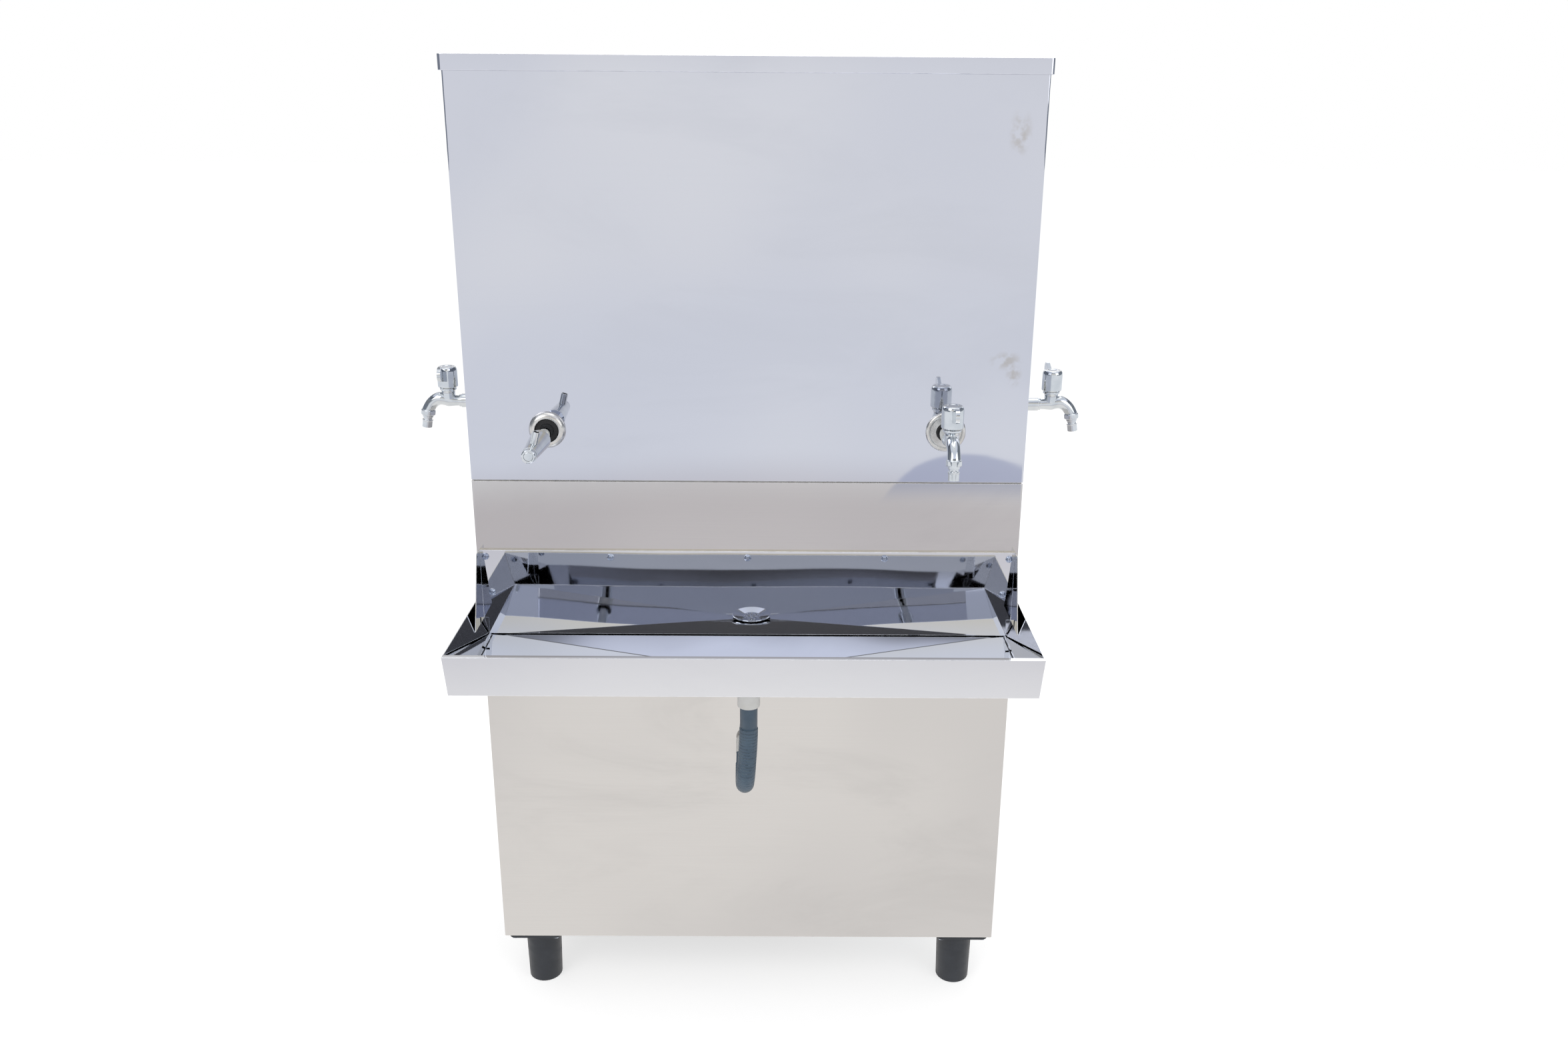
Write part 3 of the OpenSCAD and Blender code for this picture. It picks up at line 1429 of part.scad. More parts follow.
// Table row at a place between two stations, on a smooth curve through all of them
function station(t) =
  let (n = len(casting_shares) - 1, i = min(floor(t), n - 1), f = t - i)
  let (a = casting_shares[max(i - 1, 0)], b = casting_shares[i])
  let (c = casting_shares[i + 1], d = casting_shares[min(i + 2, n)])
    b + f / 2 * ((c - a) + f * ((2 * a - 5 * b + 4 * c - d) + f * (3 * b - a - 3 * c + d)));

function casting_ring(t) =
  let (s = station(t), tilt = s[4])
    ring([s[0] * spout_reach, 0, s[1] * spout_drop], [0, 1, 0], [-sin(tilt), 0, cos(tilt)],
      s[3] * casting_r, s[2] * casting_r, casting_sides);

spout_end_tilt = casting_shares[len(casting_shares) - 1][4];

// Cast body: a swelling tube that turns down, with a flanged neck for the handle
module tap_body(out) {
  steps = casting_steps * (len(casting_shares) - 1);
  waist_r = neck_r - neck_rim_t;
  low = spout_drop / 4;
  rim_z = neck_top_z - neck_rim_t;
  end_way = [cos(spout_end_tilt), 0, sin(spout_end_tilt)];
  end_at = [spout_reach, 0, -spout_drop];
  color("silver")
    translate([out, 0, 0]) difference() {
      union() {
        skin([for (k = [0 : steps]) casting_ring(k / casting_steps)]);
        rotate_extrude() polygon(concat(
          [[0, low], [waist_r, low]],
          [for (k = [6 : -1 : 0]) let (a = 15 * k)
            [waist_r + (neck_r - waist_r) * (1 - sin(a)), rim_z - neck_fillet_r * (1 - cos(a))]],
          [[neck_r, neck_top_z], [0, neck_top_z]]));
        translate([-casting_in, 0, 0]) rotate([0, 90, 0])
          cylinder(h = inlet_collar_l, r = inlet_collar_r);
      }
      translate([0, 0, stem_low_z - cut]) cylinder(h = neck_top_z, r = stem_r + fit);
      translate([-casting_in - cut, 0, 0]) rotate([0, 90, 0])
        cylinder(h = casting_in + casting_r + cut, r = casting_bore_r);
      rod(end_at - casting_r * end_way, end_at + cut * end_way, nozzle_bore_r, nozzle_bore_r);
    }
}

// Hose nozzle: a collar, a waist, a barb and a plain end, tilted outward
module tap_nozzle(out) {
  z1 = -nozzle_collar_h;
  z2 = z1 - nozzle_step_h;
  z3 = z2 - nozzle_neck_h;
  z4 = z3 - nozzle_barb_h;
  z5 = z4 - nozzle_end_h;
  color("silver")
    translate([out + spout_reach, 0, -spout_drop]) rotate([0, -90 - spout_end_tilt, 0])
      rotate_extrude() polygon([
        [nozzle_bore_r, 0], [nozzle_collar_r - nozzle_chamfer, 0],
        [nozzle_collar_r, -nozzle_chamfer], [nozzle_collar_r, z1 + nozzle_chamfer],
        [nozzle_collar_r - nozzle_chamfer, z1], [nozzle_step_r, z1], [nozzle_step_r, z2],
        [nozzle_neck_r, z2], [nozzle_neck_r, z3], [nozzle_barb_r, z3],
        [nozzle_barb_r, z4 + nozzle_chamfer], [nozzle_end_r, z4], [nozzle_end_r, z5],
        [nozzle_bore_r, z5]
      ]);
}

// Handle: a domed cap with one upright lever and the stem that turns in the neck
module tap_handle(out, turn) {
  flat_r = dome_r - dome_round_r / 2;
  color("silver")
    translate([out, 0, 0]) rotate([0, 0, turn]) {
      rotate_extrude() polygon(concat(
        [[0, stem_low_z], [stem_r, stem_low_z], [stem_r, dome_low_z],
          [dome_r - dome_chamfer, dome_low_z], [dome_r, dome_low_z + dome_chamfer]],
        [for (k = [0 : 8]) let (a = 90 * k / 8)
          [flat_r + (dome_r - flat_r) * cos(a), dome_top_z - dome_round_r * (1 - sin(a))]],
        [[index_r, dome_top_z], [index_r - index_depth, dome_top_z - index_depth],
          [0, dome_top_z - index_depth]]));
      rotate([90, 0, 0]) linear_extrude(lever_t, center = true)
        polygon(two_circle_outline([dome_r, lever_root_z], lever_root_r,
          [lever_reach - lever_tip_r, lever_tip_z], lever_tip_r, lever_arc_n));
    }
}

// The three ordinary taps, piece by piece
side_turn = 90;
module left_tap_nipple() color("silver") in_frame() at_one("left") tap_nipple(side_tap_out);
module left_tap_body() color("silver") in_frame() at_one("left") tap_body(side_tap_out);
module left_tap_nozzle() color("silver") in_frame() at_one("left") tap_nozzle(side_tap_out);
module left_tap_handle() color("silver") in_frame() at_one("left") tap_handle(side_tap_out, side_turn);
module right_tap_nipple() color("silver") in_frame() at_one("right") tap_nipple(side_tap_out);
module right_tap_body() color("silver") in_frame() at_one("right") tap_body(side_tap_out);
module right_tap_nozzle() color("silver") in_frame() at_one("right") tap_nozzle(side_tap_out);
module right_tap_handle() color("silver") in_frame() at_one("right") tap_handle(side_tap_out, side_turn);
module front_tap_nipple() color("silver") in_frame() at_one("front") tap_nipple(front_tap_out);
module front_tap_body() color("silver") in_frame() at_one("front") tap_body(front_tap_out);
module front_tap_nozzle() color("silver") in_frame() at_one("front") tap_nozzle(front_tap_out);
module front_tap_handle() color("silver") in_frame() at_one("front") tap_handle(front_tap_out, 0);

module at_one(place) {
  at_taps(left = place == "left", right = place == "right", front = place == "front",
    jet = place == "jet") children();
}

// Jet tap: domed flange, rubber ring, tapered body, upright spout and push button
module jet_tap_flange() {
  lip_r = jet_flange_hole_r + jet_flange_lip;
  color("silver")
    in_frame() at_one("jet") turned(concat(
      [[0, jet_flange_hole_r], [0, jet_flange_r]],
      [for (k = [1 : 8]) let (a = 90 * k / 8)
        [jet_flange_h * sin(a), lip_r + (jet_flange_r - lip_r) * cos(a)]],
      [[jet_flange_h, jet_flange_hole_r]]));
}

module jet_tap_ring() {
  color([0.07, 0.07, 0.07])
    in_frame() at_one("jet") turned([
      [0, jet_neck_r + fit], [0, jet_ring_r], [jet_ring_t - jet_ring_chamfer, jet_ring_r],
      [jet_ring_t, jet_ring_r - jet_ring_chamfer], [jet_ring_t, jet_neck_r + fit]
    ]);
}

recess_s = jet_len - button_t - button_travel - button_edge;
module jet_tap_body() {
  cap_s = jet_len - jet_cap_l;
  stem_s = recess_s - button_stem_l;
  color("silver")
    in_frame() at_one("jet") difference() {
      turned([
        [nipple_in, 0], [nipple_in, jet_neck_r], [jet_neck_l - jet_rim_l, jet_neck_r],
        [jet_neck_l - jet_groove, jet_rim_r], [jet_neck_l + jet_groove, jet_rim_r],
        [cap_s - jet_groove, jet_front_r], [cap_s - jet_groove, jet_cap_r - jet_groove],
        [cap_s, jet_cap_r - jet_groove], [cap_s, jet_cap_r], [jet_len - jet_groove, jet_cap_r],
        [jet_len, jet_cap_r - jet_groove], [jet_len, 0]
      ]);
      translate([nipple_in - cut, 0, 0]) rotate([0, 90, 0])
        cylinder(h = stem_s - nipple_in - button_stem_l, r = casting_bore_r);
      translate([stem_s, 0, 0]) rotate([0, 90, 0]) cylinder(h = jet_len, r = button_stem_r + fit);
      translate([recess_s, 0, 0]) rotate([0, 90, 0]) cylinder(h = jet_len, r = button_r + fit);
      translate([spout_s, 0, 0]) rotate([-spout_lean, 0, 0]) translate([0, 0, spout_low])
        cylinder(h = spout_h, r = spout_r + fit);
    }
}

module jet_tap_spout() {
  color("silver")
    in_frame() at_one("jet") translate([spout_s, 0, 0]) rotate([-spout_lean, 0, 0]) difference() {
      translate([0, 0, spout_low]) cylinder(h = spout_h - spout_low, r = spout_r);
      translate([0, 0, spout_low + cut]) cylinder(h = spout_h, r = spout_bore_r);
    }
}

module jet_tap_button() {
  face = jet_len - button_t;
  back = recess_s - button_stem_l + button_travel + button_edge;
  color("silver")
    in_frame() at_one("jet") turned([
      [back, 0], [back, button_stem_r], [face, button_stem_r], [face, button_r],
      [jet_len - button_edge, button_r], [jet_len, button_r - button_edge], [jet_len, 0]
    ]);
}

foot(-1, false);  // foot_front_left
foot(1, false);  // foot_front_right
foot(-1, true);  // foot_rear_left
foot(1, true);  // foot_rear_right
foot_bolts();
base_pan();
lower_casing();
rear_cover();
cover_screws();
divider_deck();
upper_casing();
foam();
water_tank();
evaporator_coil();
lid();
lid_foam();
tray();
splash_plate();
tray_screws();
drain_strainer();
drain_cup();
drain_hose();
hose_elbow();
drain_pipe();
compressor();
compressor_mounts();
condenser();
fan_shroud();
fan_motor();
fan_blade();
filter_drier();
refrigerant_pipes();
thermostat();
thermostat_knob();
cord_gland();
inlet_nipple();
float_valve();
float_arm();
tap_lock_nuts();
tap_flanges();
tap_gaskets();
left_tap_nipple();
left_tap_body();
left_tap_nozzle();
left_tap_handle();
right_tap_nipple();
right_tap_body();
right_tap_nozzle();
right_tap_handle();
front_tap_nipple();
front_tap_body();
front_tap_nozzle();
front_tap_handle();
jet_tap_flange();
jet_tap_ring();
jet_tap_body();
jet_tap_spout();
jet_tap_button();
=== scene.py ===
"""The looks of the steel water cooler: finishes, hose, edges, floor, light and camera."""

import json
import math

import bmesh
import bpy
from mathutils import Matrix, Vector


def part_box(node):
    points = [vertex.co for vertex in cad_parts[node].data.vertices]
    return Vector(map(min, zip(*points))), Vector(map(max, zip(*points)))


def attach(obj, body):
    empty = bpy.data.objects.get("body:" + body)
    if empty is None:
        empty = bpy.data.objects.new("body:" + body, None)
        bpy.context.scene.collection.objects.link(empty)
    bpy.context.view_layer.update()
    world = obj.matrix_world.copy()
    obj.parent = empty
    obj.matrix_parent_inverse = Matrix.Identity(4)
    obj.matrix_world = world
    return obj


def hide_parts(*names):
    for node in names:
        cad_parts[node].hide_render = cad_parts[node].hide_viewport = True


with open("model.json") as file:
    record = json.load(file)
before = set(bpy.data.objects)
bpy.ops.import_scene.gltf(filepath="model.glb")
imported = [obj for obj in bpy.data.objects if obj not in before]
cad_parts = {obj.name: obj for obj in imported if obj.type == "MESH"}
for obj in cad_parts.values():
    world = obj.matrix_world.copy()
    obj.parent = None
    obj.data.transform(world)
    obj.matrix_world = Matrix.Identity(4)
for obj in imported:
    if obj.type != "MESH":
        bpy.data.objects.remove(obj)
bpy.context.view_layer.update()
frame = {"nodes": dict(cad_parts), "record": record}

NODES = frame["nodes"]
SLOT_OF = {row["node"]: row["material_slot"] for row in frame["record"]["subparts"]}
BODY_OF = {
    node: body
    for body, nodes in frame["record"]["behaviour"]["bodies"].items()
    for node in nodes
}


# Camera, solved from the straight edges of the casing
CAMERA_PLACE = Vector((0.0475, -2.0911, 1.5115))
CAMERA_DOWN = math.radians(18.43)
CAMERA_TURN = math.radians(0.30)
CAMERA_ROLL = math.radians(0.42)
LENS_MM = 29.05
SENSOR_MM = 36.0
CLIP_END = 200.0


def make_camera():
    """Stand the camera where the photograph was taken from."""
    level = math.cos(CAMERA_DOWN)
    ahead = Vector((
        math.sin(CAMERA_TURN) * level,
        math.cos(CAMERA_TURN) * level,
        -math.sin(CAMERA_DOWN),
    ))
    right = Vector((math.cos(CAMERA_TURN), -math.sin(CAMERA_TURN), 0.0))
    up = right.cross(ahead)
    rolled_right = math.cos(CAMERA_ROLL) * right + math.sin(CAMERA_ROLL) * up
    rolled_up = math.cos(CAMERA_ROLL) * up - math.sin(CAMERA_ROLL) * right
    data = bpy.data.cameras.new("photo_camera")
    data.sensor_width = SENSOR_MM
    data.lens = LENS_MM
    data.clip_end = CLIP_END
    camera = bpy.data.objects.new("photo_camera", data)
    bpy.context.scene.collection.objects.link(camera)
    turn = Matrix((rolled_right, rolled_up, -ahead)).transposed()
    camera.matrix_world = Matrix.Translation(CAMERA_PLACE) @ turn.to_4x4()
    bpy.context.scene.camera = camera


# Helpers that add one shader node each

def add_node(tree, kind, **settings):
    """Add a shader node and set its plain properties."""
    node = tree.nodes.new(kind)
    for name, value in settings.items():
        setattr(node, name, value)
    return node


def feed(tree, socket, value):
    """Give a socket a number or a colour, or link it to another node's output."""
    if isinstance(value, (int, float)):
        socket.default_value = value
    elif isinstance(value, tuple):
        socket.default_value = (*value, 1.0)
    else:
        tree.links.new(value, socket)


def math_node(tree, operation, first, second=None, clamp=False):
    """Add a Math node whose inputs are sockets or numbers, and return its output."""
    node = add_node(tree, "ShaderNodeMath", operation=operation, use_clamp=clamp)
    feed(tree, node.inputs[0], first)
    if second is not None:
        feed(tree, node.inputs[1], second)
    return node.outputs[0]


def ranged(tree, value, low, high, to_low=0.0, to_high=1.0):
    """Spread a value from low..high over to_low..to_high, smoothly and clamped."""
    node = add_node(tree, "ShaderNodeMapRange", interpolation_type="SMOOTHSTEP")
    tree.links.new(value, node.inputs["Value"])
    node.inputs["From Min"].default_value = low
    node.inputs["From Max"].default_value = high
    node.inputs["To Min"].default_value = to_low
    node.inputs["To Max"].default_value = to_high
    return node.outputs["Result"]


def blended(tree, factor, first, second):
    """Mix two colours, each a socket or a tuple, and return the mixed colour."""
    node = add_node(tree, "ShaderNodeMix", data_type="RGBA")
    colour_inputs = [socket for socket in node.inputs if socket.type == "RGBA"]
    colour_output = [socket for socket in node.outputs if socket.type == "RGBA"][0]
    tree.links.new(factor, node.inputs["Factor"])
    for socket, value in zip(colour_inputs, (first, second)):
        feed(tree, socket, value)
    return colour_output


def noise(tree, vector, scale, detail, rough=0.5, distortion=0.0):
    """Add a noise texture, whose scale is a socket or a number, and return its value."""
    node = add_node(tree, "ShaderNodeTexNoise")
    feed(tree, node.inputs["Scale"], scale)
    node.inputs["Detail"].default_value = detail
    node.inputs["Roughness"].default_value = rough
    node.inputs["Distortion"].default_value = distortion
    tree.links.new(vector, node.inputs["Vector"])
    return node.outputs["Fac"]


def stretched(tree, vector, scale, turn=(0.0, 0.0, 0.0)):
    """Turn and stretch a coordinate by a scale for each axis."""
    node = add_node(tree, "ShaderNodeMapping")
    node.inputs["Scale"].default_value = scale
    node.inputs["Rotation"].default_value = turn
    tree.links.new(vector, node.inputs["Vector"])
    return node.outputs["Vector"]


def centred(tree, vector, place, size):
    """Measure a coordinate from a place, in shares of a size for each axis."""
    node = add_node(tree, "ShaderNodeMapping", vector_type="TEXTURE")
    node.inputs["Location"].default_value = place
    node.inputs["Scale"].default_value = size
    tree.links.new(vector, node.inputs["Vector"])
    return node.outputs["Vector"]


def length_of(tree, vector):
    """Return how long a vector is."""
    node = add_node(tree, "ShaderNodeVectorMath", operation="LENGTH")
    tree.links.new(vector, node.inputs[0])
    return node.outputs["Value"]


def split(tree, vector):
    """Return the X, Y and Z of a vector."""
    node = add_node(tree, "ShaderNodeSeparateXYZ")
    tree.links.new(vector, node.inputs[0])
    return node.outputs


# Effects shared by several finishes
PLACED = [("Vector", "NodeSocketVector")]
PLACED_AND_SCALED = [("Vector", "NodeSocketVector"), ("Scale", "NodeSocketFloat")]
LINE_STRETCH = (0.012, 0.012, 1.0)
SMEAR_STRETCH = (1.0, 1.0, 2.6)
SMEAR_SLANT = (0.0, math.radians(38), 0.0)
EDGE_SAMPLES = 4
NARROW_EDGE = 0.0009
WIDE_EDGE = 0.0022


def new_group(name, inputs, outputs):
    """Start a shader node group with named inputs and outputs."""
    tree = bpy.data.node_groups.new(name, "ShaderNodeTree")
    for label, kind in inputs:
        tree.interface.new_socket(label, in_out="INPUT", socket_type=kind)
    for label, kind in outputs:
        tree.interface.new_socket(label, in_out="OUTPUT", socket_type=kind)
    return tree, tree.nodes.new("NodeGroupInput"), tree.nodes.new("NodeGroupOutput")


def make_sheet_waves():
    """The slow waviness of rolled sheet, as a height."""
    outputs = [("Height", "NodeSocketFloat")]
    tree, inside, out = new_group("sheet waves", PLACED_AND_SCALED, outputs)
    waves = noise(tree, inside.outputs["Vector"], inside.outputs["Scale"], detail=1.0)
    tree.links.new(waves, out.inputs["Height"])
    return tree


def make_rolling_grain():
    """Fine lines left by rolling and polishing, long across the sheet."""
    outputs = [("Lines", "NodeSocketFloat")]
    tree, inside, out = new_group("rolling grain", PLACED_AND_SCALED, outputs)
    along = stretched(tree, inside.outputs["Vector"], LINE_STRETCH)
    lines = noise(tree, along, inside.outputs["Scale"], detail=2.0)
    tree.links.new(lines, out.inputs["Lines"])
    return tree


def make_hand_smears():
    """Where cloths and hands have dulled a polished face, as a mask."""
    outputs = [("Mask", "NodeSocketFloat")]
    tree, inside, out = new_group("hand smears", PLACED_AND_SCALED, outputs)
    slanted = stretched(tree, inside.outputs["Vector"], SMEAR_STRETCH, SMEAR_SLANT)
    smears = noise(
        tree, slanted, inside.outputs["Scale"], detail=5.0, rough=0.62, distortion=0.6
    )
    tree.links.new(ranged(tree, smears, low=0.44, high=0.72), out.inputs["Mask"])
    return tree


def bevelled(tree, radius):
    """Return the normal of a surface whose edges are rounded by a radius."""
    node = add_node(tree, "ShaderNodeBevel", samples=EDGE_SAMPLES)
    node.inputs["Radius"].default_value = radius
    return node.outputs["Normal"]


def make_soft_edges():
    """Rounded shading along edges, and a mask of where edges rub bare."""
    outputs = [("Normal", "NodeSocketVector"), ("Worn", "NodeSocketFloat")]
    tree, inside, out = new_group("soft edges", PLACED, outputs)
    true_normal = add_node(tree, "ShaderNodeNewGeometry").outputs["Normal"]
    facing = add_node(tree, "ShaderNodeVectorMath", operation="DOT_PRODUCT")
    tree.links.new(bevelled(tree, WIDE_EDGE), facing.inputs[0])
    tree.links.new(true_normal, facing.inputs[1])
    bent = math_node(tree, "SUBTRACT", 1.0, facing.outputs["Value"], clamp=True)
    breaks = noise(tree, inside.outputs["Vector"], scale=90.0, detail=4.0)
    uneven = ranged(tree, breaks, low=0.35, high=0.62)
    broken = math_node(tree, "MULTIPLY", bent, uneven)
    tree.links.new(ranged(tree, broken, low=0.02, high=0.16), out.inputs["Worn"])
    tree.links.new(bevelled(tree, NARROW_EDGE), out.inputs["Normal"])
    return tree


def make_settled_dust():
    """Dust on faces that look up, as a mask."""
    outputs = [("Mask", "NodeSocketFloat")]
    tree, inside, out = new_group("settled dust", PLACED_AND_SCALED, outputs)
    facing = split(tree, add_node(tree, "ShaderNodeNewGeometry").outputs["Normal"])
    patches = noise(
        tree, inside.outputs["Vector"], inside.outputs["Scale"], detail=6.0, rough=0.7
    )
    upward = ranged(tree, facing["Z"], low=0.55, high=0.98)
    patchy = ranged(tree, patches, low=0.3, high=0.75)
    tree.links.new(math_node(tree, "MULTIPLY", upward, patchy), out.inputs["Mask"])
    return tree


EFFECTS = {
    "waves": make_sheet_waves(),
    "grain": make_rolling_grain(),
    "smears": make_hand_smears(),
    "edges": make_soft_edges(),
    "dust": make_settled_dust(),
}


# Finishes

def linear(red, green, blue):
    """Turn a colour read on a screen, 0 to 255, into the renderer's own numbers."""
    return tuple(
        share / 12.92 if share <= 0.04045 else ((share + 0.055) / 1.055) ** 2.4
        for share in (red / 255, green / 255, blue / 255)
    )


class Finish:
    """One procedural material while it is being put together."""

    def __init__(self, name, roughness, metallic=0.0):
        self.material = bpy.data.materials.new(name)
        self.material.use_nodes = True
        self.tree = self.material.node_tree
        self.shader = self.tree.nodes["Principled BSDF"]
        self.shader.inputs["Metallic"].default_value = metallic
        self.place = add_node(self.tree, "ShaderNodeTexCoord").outputs["Object"]
        self.rough = roughness
        self.colour = None
        self.normal = None

    def noise(self, scale, detail):
        """Add a noise texture on the object's own coordinates."""
        return noise(self.tree, self.place, scale, detail)

    def cells(self, scale):
        """Add a cell texture on the object's own coordinates, and return its outputs."""
        node = add_node(self.tree, "ShaderNodeTexVoronoi")
        node.inputs["Scale"].default_value = scale
        self.tree.links.new(self.place, node.inputs["Vector"])
        return node.outputs

    def effect(self, name, scale=None):
        """Place a shared effect in the material, and return its outputs."""
        node = add_node(self.tree, "ShaderNodeGroup", node_tree=EFFECTS[name])
        self.tree.links.new(self.place, node.inputs["Vector"])
        if scale is not None:
            node.inputs["Scale"].default_value = scale
        return node.outputs

    def two_tone(self, first, second, scale, detail=4.0, low=0.35, high=0.65):
        """Vary the colour slowly between two tones."""
        patches = ranged(self.tree, self.noise(scale, detail), low, high)
        self.colour = blended(self.tree, patches, first, second)

    def rough_by(self, mask, amount):
        """Raise the roughness by an amount where the mask is 1."""
        change = math_node(self.tree, "MULTIPLY", mask, amount)
        self.rough = math_node(self.tree, "ADD", change, self.rough, clamp=True)

    def colour_by(self, mask, colour, share=None):
        """Mix another colour in, all of it or a share, where the mask is 1."""
        if share is not None:
            mask = math_node(self.tree, "MULTIPLY", mask, share)
        self.colour = blended(self.tree, mask, self.colour, colour)

    def bump_by(self, height, distance):
        """Add a height on top of the bumps so far."""
        bump = add_node(self.tree, "ShaderNodeBump")
        bump.inputs["Strength"].default_value = 1.0
        bump.inputs["Distance"].default_value = distance
        self.tree.links.new(height, bump.inputs["Height"])
        if self.normal is not None:
            self.tree.links.new(self.normal, bump.inputs["Normal"])
        self.normal = bump.outputs["Normal"]

    def soften(self, worn_colour, worn_roughness=0.0):
        """Round the edges in the shading, and rub them to another colour."""
        edges = self.effect("edges")
        self.normal = edges["Normal"]
        self.colour_by(edges["Worn"], worn_colour)
        if worn_roughness:
            self.rough_by(edges["Worn"], worn_roughness)

    def done(self):
        """Join everything to the shader and return the material."""
        feed(self.tree, self.shader.inputs["Base Color"], self.colour)
        feed(self.tree, self.shader.inputs["Roughness"], self.rough)
        feed(self.tree, self.shader.inputs["Normal"], self.normal)
        return self.material


# Shares of a steel's own colours at its rubbed edges and in its wiped smears
WORN_SHARE = 1.2
SMEAR_SHARE = 0.86


def sheet_steel(name, tone, shade, roughness, wave_height, smear_roughness, haze):
    """Stainless sheet: slow waves, rolling lines, wiped smears and rubbed edges."""
    finish = Finish(name, roughness, metallic=1.0)
    finish.two_tone(tone, shade, scale=1.9, detail=1.0, low=0.38, high=0.62)
    finish.soften(worn_colour=tuple(min(1.0, share * WORN_SHARE) for share in tone))
    finish.bump_by(finish.effect("waves", scale=3.2)["Height"], wave_height)
    lines = finish.effect("grain", scale=520.0)["Lines"]
    finish.colour_by(lines, shade, share=haze)
    finish.rough_by(lines, amount=0.012)
    smears = finish.effect("smears", scale=2.4)["Mask"]
    finish.rough_by(smears, smear_roughness)
    finish.colour_by(smears, tuple(share * SMEAR_SHARE for share in shade), share=haze)
    return finish


def moulded(name, tone, shade, roughness, worn):
    """Moulded plastic or rubber: fine texture, scuffed edges and a little dust."""
    finish = Finish(name, roughness)
    finish.two_tone(tone, shade, scale=26.0)
    finish.soften(worn, worn_roughness=0.12)
    finish.bump_by(finish.noise(scale=420.0, detail=2.0), distance=0.00006)
    dust = finish.effect("dust", scale=30.0)["Mask"]
    finish.colour_by(dust, linear(196, 193, 186), share=0.22)
    finish.rough_by(dust, amount=0.2)
    finish.rough_by(finish.effect("smears", scale=30.0)["Mask"], amount=0.1)
    return finish


def plated(name, tone, shade, roughness, worn, patch_scale):
    """Small plated or drawn metal parts, with water marks and rubbed edges."""
    finish = Finish(name, roughness, metallic=1.0)
    finish.two_tone(tone, shade, patch_scale)
    finish.soften(worn)
    finish.rough_by(finish.effect("smears", scale=38.0)["Mask"], amount=0.08)
    finish.bump_by(finish.noise(scale=900.0, detail=3.0), distance=0.00001)
    return finish


def galvanised():
    """Zinc coated sheet with its crystal spangle."""
    finish = Finish("galvanised", roughness=0.4, metallic=1.0)
    finish.two_tone(linear(176, 181, 186), linear(160, 165, 171), scale=6.0)
    crystals = add_node(finish.tree, "ShaderNodeSeparateColor")
    finish.tree.links.new(finish.cells(scale=85.0)["Color"], crystals.inputs[0])
    finish.soften(linear(206, 210, 214))
    finish.colour_by(crystals.outputs["Red"], linear(202, 207, 212), share=0.55)
    finish.rough_by(crystals.outputs["Green"], amount=0.16)
    finish.bump_by(finish.effect("waves", scale=6.0)["Height"], distance=0.0006)
    dust = finish.effect("dust", scale=12.0)["Mask"]
    finish.colour_by(dust, linear(150, 146, 138), share=0.5)
    return finish


def blown_foam():
    """Yellowish poured foam with an uneven, pitted skin."""
    finish = Finish("foam", roughness=0.85)
    finish.two_tone(linear(226, 205, 150), linear(205, 178, 118), scale=18.0)
    finish.bump_by(finish.cells(scale=240.0)["Distance"], distance=0.0009)
    finish.bump_by(finish.noise(scale=22.0, detail=5.0), distance=0.004)
    pits = ranged(finish.tree, finish.noise(scale=60.0, detail=5.0), low=0.6, high=0.72)
    finish.colour_by(pits, linear(168, 138, 84))
    return finish


def baked_paint():
    """Black enamel on the compressor and its irons."""
    finish = Finish("black_paint", roughness=0.3)
    finish.two_tone(linear(26, 27, 29), linear(36, 37, 39), scale=12.0)
    finish.soften(linear(92, 90, 88), worn_roughness=0.1)
    finish.bump_by(finish.noise(scale=160.0, detail=2.0), distance=0.00025)
    dust = finish.effect("dust", scale=16.0)["Mask"]
    finish.colour_by(dust, linear(120, 114, 104), share=0.5)
    finish.rough_by(dust, amount=0.4)
    finish.shader.inputs["Coat Weight"].default_value = 0.25
    return finish


def copper():
    """Drawn copper tube with brown tarnish."""
    finish = plated(
        "copper", linear(205, 128, 92), linear(178, 104, 72), 0.28, linear(228, 160, 124), 22.0
    )
    tarnish = ranged(finish.tree, finish.noise(scale=9.0, detail=6.0), low=0.5, high=0.75)
    finish.colour_by(tarnish, linear(122, 74, 52))
    finish.rough_by(tarnish, amount=0.2)
    return finish


# Lean of the trough's inner front wall, and how far the wall's mirror lies behind the lip
WALL_LEAN = math.radians(12)
WALL_FROM = 0.004
WALL_TO = 0.0115
# Painted shade: a darker, bluer colour laid on the inner front wall's strip, standing in for the
# dark that its mirror shows
PAINTED_WALL_SHADE = linear(188, 190, 197)


def lean_front_wall(finish):
    """Let the mirror of the trough's inner front wall lean back, as its rolled sheet does, and
    darken its strip with painted shade.
    """
    tree = finish.tree
    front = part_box("tray")[0][1]
    place = split(tree, finish.place)
    behind_lip = math_node(tree, "GREATER_THAN", place["Y"], front + WALL_FROM)
    at_wall = math_node(tree, "LESS_THAN", place["Y"], front + WALL_TO)
    here = math_node(tree, "MULTIPLY", behind_lip, at_wall)
    sunk = math_node(tree, "MULTIPLY", place["Z"], -1.0)
    finish.bump_by(math_node(tree, "MULTIPLY", sunk, here), math.tan(WALL_LEAN))
    # Painted shade: the wall's strip takes a darker, bluer colour in place of the dark its mirror
    # shows
    finish.colour_by(here, PAINTED_WALL_SHADE)


# Places of the greasy hand marks on the upper panel, and how far each one spreads
HAND_MARKS = [
    ((0.391, 1.141), (0.030, 0.017)),
    ((0.404, 1.119), (0.015, 0.022)),
    ((0.392, 1.470), (0.020, 0.040)),
]
MARK_COLOUR = linear(172, 164, 152)


